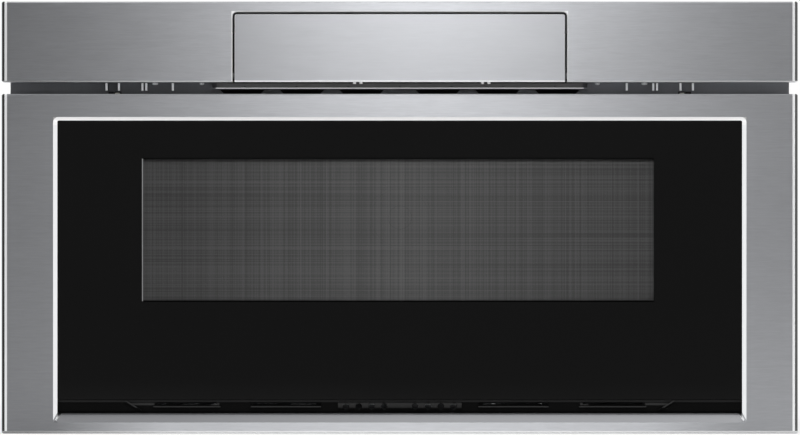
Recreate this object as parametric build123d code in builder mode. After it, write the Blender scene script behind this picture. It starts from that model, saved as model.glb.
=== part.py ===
"""Built-in microwave drawer: a chassis that slides into a cabinet, with a powered drawer below a
fascia whose centre section swings out as a control module. Millimetres.

The origin is on the chassis underside, at its centre: +X to the right, -Y to the front, +Z up.
"""

import os
from math import acos, cos, pi, radians, sin, sqrt, tan

from build123d import *

os.makedirs("parts", exist_ok=True)

# Fronts: both stainless panels share one width and one front plane.
FRONT_W = 759.0
FRONT_T = 46.0  # the fronts' front plane stands this far out from the cabinet face
DROP = 14.0  # the drawer front hangs this far below the chassis underside
GAP_LOW = 309.6  # drawer front's upper edge
GAP_HIGH = 321.0  # fascia's lower edge
FASCIA_TOP = 397.7
SKIN = 1.2  # stainless sheet of the fronts
EDGE_BEND = 4.3  # bend radius of the fronts' upright edges
EDGE_EASE = 1.1  # width of the break along their level edges

# Chassis: a folded steel box behind the cabinet face.
CHASSIS_W = 700.0
CHASSIS_D = 580.0
CHASSIS_H = 372.0
GAUGE = 1.2  # chassis sheet
PLATE = 1.5  # front frame plate
FLANGE_W = 746.0  # front frame plate, wide enough to cover the cabinet cut-out
FACE_Y = -CHASSIS_D / 2
PLATE_Y = FACE_Y - PLATE
FRONT_Y = FACE_Y - FRONT_T
HALF_W = CHASSIS_W / 2

# Cooking cavity and the drawer tub that slides into it.
TUB_X = 251.2
TUB_Z = (90.0, 262.0)
TUB_BACK = 100.0
TUB_WALL = 1.2
CAVITY_X = 256.0
CAVITY_Z = (86.0, 272.0)
CAVITY_BACK = 130.0
WELL_Y = -20.0  # centre of the round stirrer well under the tub
WELL_R = 115.0

# Drawer front: glass set in a stainless frame, closed at the back by a pressed pan.
PAN_Y = -294.5  # back face of the door pan when the drawer is shut
RECESS = 3.0  # the glass lies this far behind the frame's face
GLASS = 4.0
WINDOW_X = 244.0
WINDOW_Z = (112.0, 248.0)

# Drawer drive: two racks over two pinions on one cross shaft, turned by a gear motor.
PRESSURE = radians(20)
ADDENDUM = 0.75
DEDENDUM = 1.1
BACKLASH = 0.16
RACK_MODULE = 2.0
PINION_TEETH = 14
SHAFT_Y = -255.0
SHAFT_Z = 44.0
SHAFT_R = 4.0
RACK_Z = SHAFT_Z + RACK_MODULE * PINION_TEETH / 2
GEAR_MODULE = 2.0
GEAR_TEETH = 24
MOTOR_TEETH = 12
MOTOR_Y = SHAFT_Y + GEAR_MODULE * (GEAR_TEETH + MOTOR_TEETH) / 2
RUNNING = 0.06  # radial clearance of a shaft in its bearing

# Telescopic slides, one pair, each of three members.
SLIDE_Y = (-289.0, 161.0)
SLIDE_X = 300.0

# Control module: a wedge behind the fascia's centre skin, turning on two pins.
FLAP_X = 158.0
FLAP_TOP = 386.2
FLAP_GAP = 1.4
PIVOT_Y = FRONT_Y + 6.0
PIVOT_Z = GAP_HIGH + 6.0
PIN_R = 3.0
TRAY_Z = 315.9  # upper face of the control bay's floor


def facing(y):
    """The upright plane at depth y, drawn as seen from the front: sketch axes are X and Z."""
    return Plane.XZ.offset(-y)


def side_on(x):
    """The upright plane at x, drawn as seen from the right: sketch axes are Y and Z."""
    return Plane.YZ.offset(x)


def level(z):
    """The flat plane at height z."""
    return Plane.XY.offset(z)


def pane(across, up, radius=0.0, mode=Mode.ADD):
    """A rectangle between two (low, high) pairs along the sketch's own axes."""
    width, height = across[1] - across[0], up[1] - up[0]
    with Locations(((across[0] + across[1]) / 2, (up[0] + up[1]) / 2)):
        if radius:
            RectangleRounded(width, height, radius, mode=mode)
        else:
            Rectangle(width, height, mode=mode)


def brick(x, y, z, mode=Mode.ADD):
    """A rectangular block between three (low, high) pairs."""
    with Locations(((x[0] + x[1]) / 2, (y[0] + y[1]) / 2, (z[0] + z[1]) / 2)):
        Box(x[1] - x[0], y[1] - y[0], z[1] - z[0], mode=mode)


def both(half):
    """A (low, high) pair centred on zero."""
    return (-half, half)


def folded(points, thickness, side=Side.LEFT):
    """Outline of a sheet folded along the given points, its thickness laid on one side."""
    with BuildLine() as path:
        Polyline(*points)
        offset(amount=thickness, side=side)
    return path.edges()


def tooth(module, teeth):
    """One involute gear tooth on the +x axis of a gear centred on the origin."""
    pitch = module * teeth / 2
    base = pitch * cos(PRESSURE)
    root = pitch - DEDENDUM * module

    def half_angle(radius):
        slope = acos(min(1.0, base / radius))
        spread = tan(PRESSURE) - PRESSURE - tan(slope) + slope
        return pi / (2 * teeth) - BACKLASH / (2 * pitch) + spread

    tip = pitch + ADDENDUM * module
    radii = [root - 0.3, base, pitch, tip]
    flank = [(r * cos(half_angle(r)), r * sin(half_angle(r))) for r in radii]
    return flank + [(x, -y) for x, y in reversed(flank)]


def gear_face(module, teeth, turn=0.0):
    """The toothed face of a spur gear, centred on the sketch's current location."""
    RegularPolygon(module * (teeth / 2 - DEDENDUM), teeth, rotation=turn)
    with PolarLocations(0, teeth, start_angle=turn):
        Polygon(*tooth(module, teeth), align=None)


# ---------------------------------------------------------------------------------------------
# Chassis: base pan, side panels, back panel and top cover, all folded sheet.
# ---------------------------------------------------------------------------------------------
BASE_LIP = 22.0
COVER_LIP = 24.0
IN_TURN = 13.0  # width of the side panels' front and rear flanges
SIDE_X = HALF_W - GAUGE
PANEL_Z = (GAUGE, CHASSIS_H - GAUGE)
BACK_Y = CHASSIS_D / 2 - GAUGE

with BuildPart() as base_pan:
    with BuildSketch(facing(FACE_Y)):
        make_face(
            folded([(-HALF_W, BASE_LIP), (-HALF_W, 0), (HALF_W, 0), (HALF_W, BASE_LIP)], GAUGE)
        )
    extrude(amount=-CHASSIS_D)
    with BuildSketch(level(0)):
        with Locations((0, 225)):
            with GridLocations(130, 20, 4, 3):
                Rectangle(96, 6)
        with Locations((0, -120)):
            with GridLocations(660, 44, 2, 4):
                Rectangle(8, 30)
    extrude(amount=GAUGE, mode=Mode.SUBTRACT)
base_pan.part.label = "base_pan"
export_step(base_pan.part, "parts/base_pan.step")

for side, hand in ((-1, "left"), (1, "right")):
    with BuildPart() as side_panel:
        outline = [
            (side * (SIDE_X - IN_TURN), FACE_Y),
            (side * SIDE_X, FACE_Y),
            (side * SIDE_X, BACK_Y),
            (side * (SIDE_X - IN_TURN), BACK_Y),
        ]
        with BuildSketch(level(PANEL_Z[0])):
            make_face(folded(outline, GAUGE, Side.LEFT if side > 0 else Side.RIGHT))
        extrude(amount=PANEL_Z[1] - PANEL_Z[0])
        # Cooling louvres in two fields, beside the rear bay and beside the electronics.
        with BuildSketch(side_on(side * (SIDE_X + 1))):
            for field_y in (205, -90):
                with Locations((field_y, 215)):
                    with GridLocations(17, 84, 7, 2):
                        Rectangle(5, 68)
        extrude(amount=-side * 4, mode=Mode.SUBTRACT)
    side_panel.part.label = f"{hand}_side_panel"
    export_step(side_panel.part, f"parts/{hand}_side_panel.step")

FAN_X, FAN_Z = -230.0, 205.0
FAN_RING = 57.0
GUARD_R = 54.0
GLAND_X, GLAND_Z = 300.0, 332.0
GLAND_R = 9.0

with BuildPart() as back_panel:
    with BuildSketch(facing(BACK_Y)):
        pane(both(SIDE_X), PANEL_Z)
        with Locations((GLAND_X, GLAND_Z)):
            Circle(GLAND_R, mode=Mode.SUBTRACT)
        # Fan guard: rows of slots, each as long as the ring is wide at its height, and a middle rib.
        for row in range(-4, 5):
            rise = row * 11.5
            with Locations((FAN_X, FAN_Z + rise)):
                Rectangle(2 * sqrt(GUARD_R**2 - rise**2), 7, mode=Mode.SUBTRACT)
        pane((FAN_X - 3, FAN_X + 3), (FAN_Z - GUARD_R, FAN_Z + GUARD_R))
        with Locations((200, 205)):
            with GridLocations(66, 17, 3, 6):
                Rectangle(52, 6, mode=Mode.SUBTRACT)
    extrude(amount=-GAUGE)
back_panel.part.label = "back_panel"
export_step(back_panel.part, "parts/back_panel.step")

with BuildPart() as power_inlet:
    # Grommet: a flange each side of the sheet and a plug through the hole.
    for near, depth, radius in ((BACK_Y - 4, 4, 13), (BACK_Y, GAUGE, GLAND_R), (BACK_Y + GAUGE, 3, 13)):
        with BuildSketch(facing(near)):
            with Locations((GLAND_X, GLAND_Z)):
                RegularPolygon(radius, 16)
                RegularPolygon(4.5, 12, mode=Mode.SUBTRACT)
        extrude(amount=-depth)
power_inlet.part.label = "power_inlet"
export_step(power_inlet.part, "parts/power_inlet.step")

with BuildPart() as top_cover:
    lip_z = CHASSIS_H - COVER_LIP
    with BuildSketch(facing(FACE_Y)):
        make_face(
            folded(
                [(-HALF_W, lip_z), (-HALF_W, CHASSIS_H), (HALF_W, CHASSIS_H), (HALF_W, lip_z)],
                GAUGE,
                Side.RIGHT,
            )
        )
    extrude(amount=-CHASSIS_D)
    with BuildSketch(level(CHASSIS_H)):
        with Locations((0, 215)):
            with GridLocations(130, 22, 4, 3):
                Rectangle(98, 6)
    extrude(amount=-GAUGE, mode=Mode.SUBTRACT)
top_cover.part.label = "top_cover"
export_step(top_cover.part, "parts/top_cover.step")

# ---------------------------------------------------------------------------------------------
# Front frame: the plate that covers the cabinet cut-out and carries both fronts.
# ---------------------------------------------------------------------------------------------
MOUTH_X = 262.0
MOUTH_Z = (80.0, 276.0)
BAY_X = 166.0
BAY_Z = (319.3, 371.0)
PLATE_TOP = 396.0  # the plate closes the back of the fascia, up to just under its top
VENT_PITCH = 57.2
VENT_TOP, VENT_LOW = 314.3, 310.4
FLANGE_HOLE_X, FLANGE_HOLE_Z = 362.0, (70.0, 296.0)
LATCH_X = 274.4  # middle of each pair of latch guide tabs
HOOK_X = 270.6
HOOK_WAY = (266.8, 279.2)
TAB_T = 1.9

with BuildPart() as front_frame:
    with BuildSketch(facing(PLATE_Y)):
        pane(both(FLANGE_W / 2), (0, PLATE_TOP))
        pane(both(MOUTH_X), MOUTH_Z, 7, mode=Mode.SUBTRACT)
        pane(both(BAY_X), BAY_Z, mode=Mode.SUBTRACT)
        for side in (-1, 1):
            # Ways for the slide and rack, and for the latch hook.
            pane(sorted((side * 274, side * 301)), (28, 78), mode=Mode.SUBTRACT)
            pane(sorted((side * HOOK_WAY[0], side * HOOK_WAY[1])), (296, 312.6), mode=Mode.SUBTRACT)
            for hole_z in FLANGE_HOLE_Z:
                with Locations((side * FLANGE_HOLE_X, hole_z)):
                    Circle(2.75, mode=Mode.SUBTRACT)
            # Exhaust slots: trapezoids, wider at the top, in two groups of three.
            for step in range(3):
                centre = side * (36.5 + VENT_PITCH * step)
                with BuildLine():
                    Polyline(
                        (centre - 21.5, VENT_TOP),
                        (centre + 21.5, VENT_TOP),
                        (centre + 17.5, VENT_LOW),
                        (centre - 17.5, VENT_LOW),
                        close=True,
                    )
                make_face(mode=Mode.SUBTRACT)
        # Air intake below the cavity.
        with Locations((0, 14)):
            with GridLocations(74, 0, 7, 1):
                Rectangle(60, 8, mode=Mode.SUBTRACT)
    extrude(amount=-PLATE)
    # Latch guides and stiffening tabs, bent forward out of the plate under the fascia.
    for side in (-1, 1):
        for tab_x in (LATCH_X + 5.95, LATCH_X - 5.95, 246.0, 242.4, 217.0):
            with BuildSketch(facing(PLATE_Y)):
                pane((side * tab_x - TAB_T / 2, side * tab_x + TAB_T / 2), (313.2, 320.4))
            extrude(amount=19)
front_frame.part.label = "front_frame"
export_step(front_frame.part, "parts/front_frame.step")

# ---------------------------------------------------------------------------------------------
# Cavity: the fixed oven box, with the stirrer well in its floor and the waveguide below.
# ---------------------------------------------------------------------------------------------
WALL = 1.0
COUPLING_R = 22.0
GUIDE_X = 45.0
GUIDE_Y = (-62.0, 232.0)
GUIDE_Z = (30.0, 62.0)
TUBE_Y = 190.0  # magnetron axis
WELL_FLOOR = GUIDE_Z[1] + WALL

with BuildPart() as cavity_box:
    brick(both(CAVITY_X + WALL), (FACE_Y, CAVITY_BACK + WALL), (CAVITY_Z[0] - WALL, CAVITY_Z[1] + WALL))
    brick(both(CAVITY_X), (FACE_Y, CAVITY_BACK), CAVITY_Z, Mode.SUBTRACT)
    with BuildSketch(facing(FACE_Y)):
        pane(both(MOUTH_X + 10), (79, 281))
        pane(both(CAVITY_X), CAVITY_Z, mode=Mode.SUBTRACT)
    extrude(amount=-WALL)
    with BuildSketch(level(GUIDE_Z[1])):
        with Locations((0, WELL_Y)):
            RegularPolygon(WELL_R + WALL, 40)
    extrude(amount=CAVITY_Z[0] - GUIDE_Z[1])
    with BuildSketch(level(WELL_FLOOR)):
        with Locations((0, WELL_Y)):
            RegularPolygon(WELL_R, 40)
    extrude(amount=CAVITY_Z[0] - WELL_FLOOR, mode=Mode.SUBTRACT)
    with BuildSketch(level(GUIDE_Z[1])):
        with Locations((0, WELL_Y)):
            RegularPolygon(COUPLING_R, 20)
    extrude(amount=WALL, mode=Mode.SUBTRACT)
    # Perforated patch for the lamp in the right wall and for moist air in the left one.
    with BuildSketch(side_on(CAVITY_X - 1)):
        with Locations((60, 215)):
            with GridLocations(10, 10, 3, 3):
                RegularPolygon(2.8, 6)
    extrude(amount=3, mode=Mode.SUBTRACT)
    with BuildSketch(side_on(-CAVITY_X + 1)):
        with Locations((60, 225)):
            with GridLocations(12, 12, 4, 2):
                RegularPolygon(2.8, 6)
    extrude(amount=-3, mode=Mode.SUBTRACT)
cavity_box.part.label = "cavity_box"
export_step(cavity_box.part, "parts/cavity_box.step")

with BuildPart() as waveguide:
    brick(both(GUIDE_X), GUIDE_Y, GUIDE_Z)
    chamfer(waveguide.edges().filter_by(Axis.Z).sort_by(Axis.Y)[:2], 8)
    inner_y = (GUIDE_Y[0] + WALL, GUIDE_Y[1] - WALL)
    brick(both(GUIDE_X - WALL), inner_y, (GUIDE_Z[0] + WALL, GUIDE_Z[1] - WALL), Mode.SUBTRACT)
    with BuildSketch(level(GUIDE_Z[1])):
        with Locations((0, WELL_Y)):
            RegularPolygon(COUPLING_R, 20)
        with Locations((0, TUBE_Y)):
            RegularPolygon(17, 12)
    extrude(amount=-WALL, mode=Mode.SUBTRACT)
    with BuildSketch(level(GUIDE_Z[0])):
        with Locations((0, WELL_Y)):
            RegularPolygon(6, 12)
    extrude(amount=WALL, mode=Mode.SUBTRACT)
waveguide.part.label = "waveguide"
export_step(waveguide.part, "parts/waveguide.step")

STIRRER_R = 96.0
STIRRER_Z = 73.0
STIRRER_SHAFT_R = 3.5

with BuildPart() as stirrer_antenna:
    with BuildSketch(level(STIRRER_Z)):
        with Locations((0, WELL_Y)):
            RegularPolygon(STIRRER_R, 36)
            # Three open sectors and a slotted blade between each two scatter the field.
            with PolarLocations(62, 3):
                Rectangle(52, 58, mode=Mode.SUBTRACT)
            with PolarLocations(66, 3, start_angle=60):
                Rectangle(8, 40, mode=Mode.SUBTRACT)
    extrude(amount=1.5)
    with BuildSketch(level(16)):
        with Locations((0, WELL_Y)):
            Circle(STIRRER_SHAFT_R)
    extrude(amount=STIRRER_Z - 16)
    with BuildSketch(level(STIRRER_Z + 1.5)):
        with Locations((0, WELL_Y)):
            RegularPolygon(8, 12)
    extrude(amount=3)
stirrer_antenna.part.label = "stirrer_antenna"
export_step(stirrer_antenna.part, "parts/stirrer_antenna.step")

with BuildPart() as stirrer_motor:
    with BuildSketch(level(11)):
        with Locations((0, WELL_Y)):
            RegularPolygon(25, 20)
            with GridLocations(64, 0, 2, 1):
                RegularPolygon(5, 8)
            Rectangle(64, 9)
    extrude(amount=2)
    with BuildSketch(level(13)):
        with Locations((0, WELL_Y)):
            RegularPolygon(25, 20)
    extrude(amount=16.5)
    with BuildSketch(level(11)):
        with Locations((0, WELL_Y)):
            Circle(STIRRER_SHAFT_R + RUNNING)
    extrude(amount=19, mode=Mode.SUBTRACT)
stirrer_motor.part.label = "stirrer_motor"
export_step(stirrer_motor.part, "parts/stirrer_motor.step")

with BuildPart() as magnetron:
    # Yoke, open at both sides, round a stack of cooling fins, with the filter box on top.
    with BuildSketch(facing(TUBE_Y - 35)):
        pane(both(44), (GUIDE_Z[1], 122))
        pane(both(42), (GUIDE_Z[1] + 2, 120), mode=Mode.SUBTRACT)
    extrude(amount=-70)
    with BuildSketch(level(GUIDE_Z[1] + 2)):
        with Locations((0, TUBE_Y)):
            RegularPolygon(17, 8)
    extrude(amount=56)
    for fin in range(6):
        with BuildSketch(level(71 + fin * 8)):
            with Locations((0, TUBE_Y)):
                Rectangle(84, 62)
        extrude(amount=0.8)
    with BuildSketch(level(122)):
        with Locations((0, TUBE_Y)):
            Rectangle(62, 52)
    extrude(amount=26)
    with BuildSketch(level(40)):
        with Locations((0, TUBE_Y)):
            RegularPolygon(10, 12)
    extrude(amount=GUIDE_Z[1] + 2 - 40)
    chamfer(magnetron.faces().sort_by(Axis.Z)[0].edges(), 3)
magnetron.part.label = "magnetron"
export_step(magnetron.part, "parts/magnetron.step")

with BuildPart() as oven_lamp:
    # Lamp holder on the right cavity wall: a hooded bracket with the bulb pointing at the patch.
    with BuildSketch(side_on(CAVITY_X + WALL)):
        pane((36, 84), (188, 242))
        pane((38, 82), (190, 240), mode=Mode.SUBTRACT)
    extrude(amount=34)
    with BuildSketch(side_on(CAVITY_X + WALL + 34)):
        pane((36, 84), (188, 242))
    extrude(amount=1.5)
    for near, far, radius in ((264, 282, 8), (282, 291, 12)):
        with BuildSketch(side_on(near)):
            with Locations((60, 215)):
                RegularPolygon(radius, 12)
        extrude(amount=far - near)
oven_lamp.part.label = "oven_lamp"
export_step(oven_lamp.part, "parts/oven_lamp.step")

# ---------------------------------------------------------------------------------------------
# Rear bay: cooling fan, high-voltage transformer and capacitor; left bay: power board.
# ---------------------------------------------------------------------------------------------
FAN_BLADES = 7
FAN_SHAFT_R = 2.5
PITCH = radians(38)
BLADE_T = 1.4

with BuildPart() as fan_shroud:
    with BuildSketch(facing(BACK_Y - 2)):
        with Locations((FAN_X, FAN_Z)):
            Rectangle(132, 132)
            RegularPolygon(FAN_RING, 32, mode=Mode.SUBTRACT)
            with GridLocations(116, 116, 2, 2):
                RegularPolygon(2.4, 6, mode=Mode.SUBTRACT)
    extrude(amount=-2)
    with BuildSketch(facing(BACK_Y - 28)):
        with Locations((FAN_X, FAN_Z)):
            RegularPolygon(FAN_RING + 2.2, 32)
            RegularPolygon(FAN_RING, 32, mode=Mode.SUBTRACT)
    extrude(amount=-26)
    with BuildSketch(facing(BACK_Y - 30)):
        with Locations((FAN_X, FAN_Z)):
            Rectangle(2 * FAN_RING + 3, 9)
            Rectangle(9, 2 * FAN_RING + 3)
            RegularPolygon(20, 12)
            RegularPolygon(9, 12, mode=Mode.SUBTRACT)
    extrude(amount=-2)
fan_shroud.part.label = "fan_shroud"
export_step(fan_shroud.part, "parts/fan_shroud.step")

with BuildPart() as fan_motor:
    # Shaded-pole motor: a laminated stack between two end bells, carried on the spider.
    with BuildSketch(facing(BACK_Y - 34)):
        with Locations((FAN_X, FAN_Z)):
            RegularPolygon(19, 12)
    extrude(amount=-4)
    with BuildSketch(facing(BACK_Y - 56)):
        with Locations((FAN_X, FAN_Z)):
            Rectangle(60, 52)
    extrude(amount=-22)
    with BuildSketch(facing(BACK_Y - 68)):
        with Locations((FAN_X, FAN_Z)):
            RegularPolygon(16, 12)
    extrude(amount=-12)
    with BuildSketch(facing(BACK_Y - 50)):
        with Locations((FAN_X, FAN_Z)):
            Circle(FAN_SHAFT_R + RUNNING)
    extrude(amount=-20, mode=Mode.SUBTRACT)
fan_motor.part.label = "fan_motor"
export_step(fan_motor.part, "parts/fan_motor.step")

with BuildPart() as fan_impeller:
    with BuildSketch(facing(BACK_Y - 26)):
        with Locations((FAN_X, FAN_Z)):
            RegularPolygon(15, 2 * FAN_BLADES)
    extrude(amount=-21)
    with BuildSketch(facing(BACK_Y - 49)):
        with Locations((FAN_X, FAN_Z)):
            Circle(FAN_SHAFT_R)
    extrude(amount=-23.5)
    # Each blade is a flat paddle, wider to its tip and pitched about its own length.
    for blade in range(FAN_BLADES):
        turn = 2 * pi * blade / FAN_BLADES
        paddle = Plane(
            origin=(FAN_X, BACK_Y - 15.5, FAN_Z),
            x_dir=(cos(turn), 0, sin(turn)),
            z_dir=(-sin(PITCH) * sin(turn), cos(PITCH), sin(PITCH) * cos(turn)),
        )
        with BuildSketch(paddle.offset(-BLADE_T / 2)):
            with BuildLine():
                Polyline((12, -6), (54, -14), (54, 14), (12, 6), close=True)
            make_face()
        extrude(amount=BLADE_T)
fan_impeller.part.label = "fan_impeller"
export_step(fan_impeller.part, "parts/fan_impeller.step")

CORE_X, CORE_Y = 232.0, 205.0

with BuildPart() as transformer_core:
    # Laminated shell core: two winding windows either side of the centre limb.
    with BuildSketch(facing(CORE_Y - 30)):
        pane((CORE_X - 54, CORE_X + 54), (GAUGE, 92))
        for side in (-1, 1):
            centre = CORE_X + side * 27
            pane((centre - 10, centre + 10), (19, 74), mode=Mode.SUBTRACT)
    extrude(amount=-60)
    with BuildSketch(level(GAUGE)):
        with Locations((CORE_X, CORE_Y)):
            RectangleRounded(104, 96, 6)
    extrude(amount=2.5)
transformer_core.part.label = "transformer_core"
export_step(transformer_core.part, "parts/transformer_core.step")

with BuildPart() as transformer_coils:
    for coil_z in ((20, 42), (45, 73)):
        with BuildSketch(level(coil_z[0])):
            with Locations((CORE_X, CORE_Y)):
                RectangleRounded(73, 100, 18)
                Rectangle(34, 60, mode=Mode.SUBTRACT)
        extrude(amount=coil_z[1] - coil_z[0])
transformer_coils.part.label = "transformer_coils"
export_step(transformer_coils.part, "parts/transformer_coils.step")

with BuildPart() as hv_capacitor:
    with BuildSketch(level(GAUGE)):
        with Locations((120, 235)):
            SlotOverall(58, 34)
    extrude(amount=88)
    with BuildSketch(level(GAUGE + 88)):
        with Locations((120, 235)):
            with GridLocations(22, 0, 2, 1):
                RegularPolygon(4, 8)
    extrude(amount=9)
hv_capacitor.part.label = "hv_capacitor"
export_step(hv_capacitor.part, "parts/hv_capacitor.step")

BOARD_X = -338.0

with BuildPart() as power_board:
    with BuildSketch(side_on(BOARD_X)):
        pane((-170, 60), (110, 270))
    extrude(amount=1.6)
    # Relays, line filter, storage capacitors and the rectifier's finned heat sink.
    with BuildSketch(side_on(BOARD_X + 1.6)):
        pane((-155, -125), (228, 252))
        pane((-100, -76), (228, 252))
        pane((-66, -42), (228, 252))
    extrude(amount=19)
    with BuildSketch(side_on(BOARD_X + 1.6)):
        with Locations((-140, 150), (-108, 150)):
            RegularPolygon(12, 12)
        with Locations((20, 232)):
            RegularPolygon(22, 16)
            RegularPolygon(10, 12, mode=Mode.SUBTRACT)
    extrude(amount=28)
    with BuildSketch(side_on(BOARD_X + 1.6)):
        pane((-70, 30), (128, 132))
        with Locations((-20, 149)):
            with GridLocations(14, 0, 8, 1):
                Rectangle(2, 34)
    extrude(amount=36)
    # Four spacers hold the board off the side panel.
    with BuildSketch(side_on(-SIDE_X + GAUGE)):
        with Locations((-55, 190)):
            with GridLocations(214, 144, 2, 2):
                RegularPolygon(4, 6)
    extrude(amount=BOARD_X + SIDE_X - GAUGE)
power_board.part.label = "power_board"
export_step(power_board.part, "parts/power_board.step")

# ---------------------------------------------------------------------------------------------
# Telescopic slides: outer member on the chassis, middle member, inner member on the drawer.
# ---------------------------------------------------------------------------------------------
SLIDE_GAUGE = 1.2
RAIL_X = 288.4  # inboard face of the inner member, where the drawer's rail seats


def channel(side, points):
    """Outline of a slide member: right-hand outer points, mirrored for the left slide."""
    return folded([(side * x, z) for x, z in points], SLIDE_GAUGE, Side.LEFT if side > 0 else Side.RIGHT)


OUTER = [(287.9, 36), (287.9, 30), (300, 30), (300, 75), (287.9, 75), (287.9, 69)]
MIDDLE = [(290.9, 32.4), (297.1, 32.4), (297.1, 72.6), (290.9, 72.6)]
INNER = [(294.4, 67.4), (290.8, 67.4), (290.8, 37.6), (294.4, 37.6)]

for side, hand in ((-1, "left"), (1, "right")):
    members = {"outer": OUTER, "middle": MIDDLE, "inner": INNER}
    for member, points in members.items():
        with BuildPart() as slide:
            with BuildSketch(facing(SLIDE_Y[0])):
                make_face(channel(side, points))
            extrude(amount=SLIDE_Y[0] - SLIDE_Y[1])
        slide.part.label = f"slide_{member}_{hand}"
        export_step(slide.part, f"parts/slide_{member}_{hand}.step")

    # The drawer's rail: an angle whose front foot screws to the door pan.
    with BuildPart() as rail_bracket:
        rail = [
            (side * 264, PAN_Y + GAUGE),
            (side * RAIL_X, PAN_Y + GAUGE),
            (side * RAIL_X, 150),
        ]
        with BuildSketch(level(38)):
            make_face(folded(rail, GAUGE, Side.LEFT if side < 0 else Side.RIGHT))
        extrude(amount=29)
    rail_bracket.part.label = f"rail_bracket_{hand}"
    export_step(rail_bracket.part, f"parts/rail_bracket_{hand}.step")

with BuildPart() as rail_supports:
    # Upright angles that carry the outer members above the base pan.
    for side in (-1, 1):
        angle = [(side * (SLIDE_X + 18), GAUGE), (side * SLIDE_X, GAUGE), (side * SLIDE_X, 78)]
        with BuildSketch(facing(SLIDE_Y[0] + 4)):
            make_face(folded(angle, PLATE, Side.RIGHT if side > 0 else Side.LEFT))
        extrude(amount=SLIDE_Y[0] - SLIDE_Y[1] + 8)
rail_supports.part.label = "rail_supports"
export_step(rail_supports.part, "parts/rail_supports.step")

# ---------------------------------------------------------------------------------------------
# Drawer drive: racks on the drawer's rails, cross shaft with pinions and gear, gear motor.
# ---------------------------------------------------------------------------------------------
RACK_W = 9.6
RACK_PITCH = pi * RACK_MODULE
RACK_TEETH = 66
RACK_START = SHAFT_Y - 4 * RACK_PITCH

with BuildPart() as drive_racks:
    for side in (-1, 1):
        inboard = min(side * RAIL_X, side * (RAIL_X - RACK_W))
        with BuildSketch(side_on(inboard)):
            low = RACK_Z + DEDENDUM * RACK_MODULE
            pane((RACK_START - RACK_PITCH / 2, RACK_START + (RACK_TEETH - 0.5) * RACK_PITCH), (low, 67))
            root = RACK_PITCH / 4 + DEDENDUM * RACK_MODULE * tan(PRESSURE) - BACKLASH / 2
            crest = RACK_PITCH / 4 - ADDENDUM * RACK_MODULE * tan(PRESSURE) - BACKLASH / 2
            crest_z = RACK_Z - ADDENDUM * RACK_MODULE
            for step in range(RACK_TEETH):
                centre = RACK_START + step * RACK_PITCH
                with BuildLine():
                    Polyline(
                        (centre - root, low),
                        (centre - crest, crest_z),
                        (centre + crest, crest_z),
                        (centre + root, low),
                        close=True,
                    )
                make_face()
        extrude(amount=RACK_W)
drive_racks.part.label = "drive_racks"
export_step(drive_racks.part, "parts/drive_racks.step")

PINION_X = RAIL_X - RACK_W / 2
PINION_W = 8.0
GEAR_X = 150.0
GEAR_W = 8.0

with BuildPart() as drive_shaft:
    with BuildSketch(side_on(-RAIL_X + 0.5)):
        with Locations((SHAFT_Y, SHAFT_Z)):
            Circle(SHAFT_R)
    extrude(amount=2 * (RAIL_X - 0.5))
drive_shaft.part.label = "drive_shaft"
export_step(drive_shaft.part, "parts/drive_shaft.step")

with BuildPart() as shaft_pinions:
    for side in (-1, 1):
        with BuildSketch(side_on(side * PINION_X - PINION_W / 2)):
            with Locations((SHAFT_Y, SHAFT_Z)):
                gear_face(RACK_MODULE, PINION_TEETH)
                Circle(SHAFT_R, mode=Mode.SUBTRACT)
        extrude(amount=PINION_W)
shaft_pinions.part.label = "shaft_pinions"
export_step(shaft_pinions.part, "parts/shaft_pinions.step")

with BuildPart() as drive_gear:
    with BuildSketch(side_on(GEAR_X)):
        with Locations((SHAFT_Y, SHAFT_Z)):
            gear_face(GEAR_MODULE, GEAR_TEETH)
            # Lightening holes between hub and rim.
            with PolarLocations(14, 6):
                RegularPolygon(4, 8, mode=Mode.SUBTRACT)
            Circle(SHAFT_R, mode=Mode.SUBTRACT)
    extrude(amount=GEAR_W)
    with BuildSketch(side_on(GEAR_X + GEAR_W)):
        with Locations((SHAFT_Y, SHAFT_Z)):
            RegularPolygon(8, 12)
            Circle(SHAFT_R, mode=Mode.SUBTRACT)
    extrude(amount=6)
drive_gear.part.label = "drive_gear"
export_step(drive_gear.part, "parts/drive_gear.step")

MOTOR_X = GEAR_X + GEAR_W + 4
MOTOR_SHAFT_R = 3.5

with BuildPart() as motor_pinion:
    with BuildSketch(side_on(GEAR_X - 1)):
        with Locations((MOTOR_Y, SHAFT_Z)):
            gear_face(GEAR_MODULE, MOTOR_TEETH, turn=180 / MOTOR_TEETH)
    extrude(amount=GEAR_W + 2)
    with BuildSketch(side_on(GEAR_X + GEAR_W + 1)):
        with Locations((MOTOR_Y, SHAFT_Z)):
            Circle(MOTOR_SHAFT_R)
    extrude(amount=16)
motor_pinion.part.label = "motor_pinion"
export_step(motor_pinion.part, "parts/motor_pinion.step")

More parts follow.
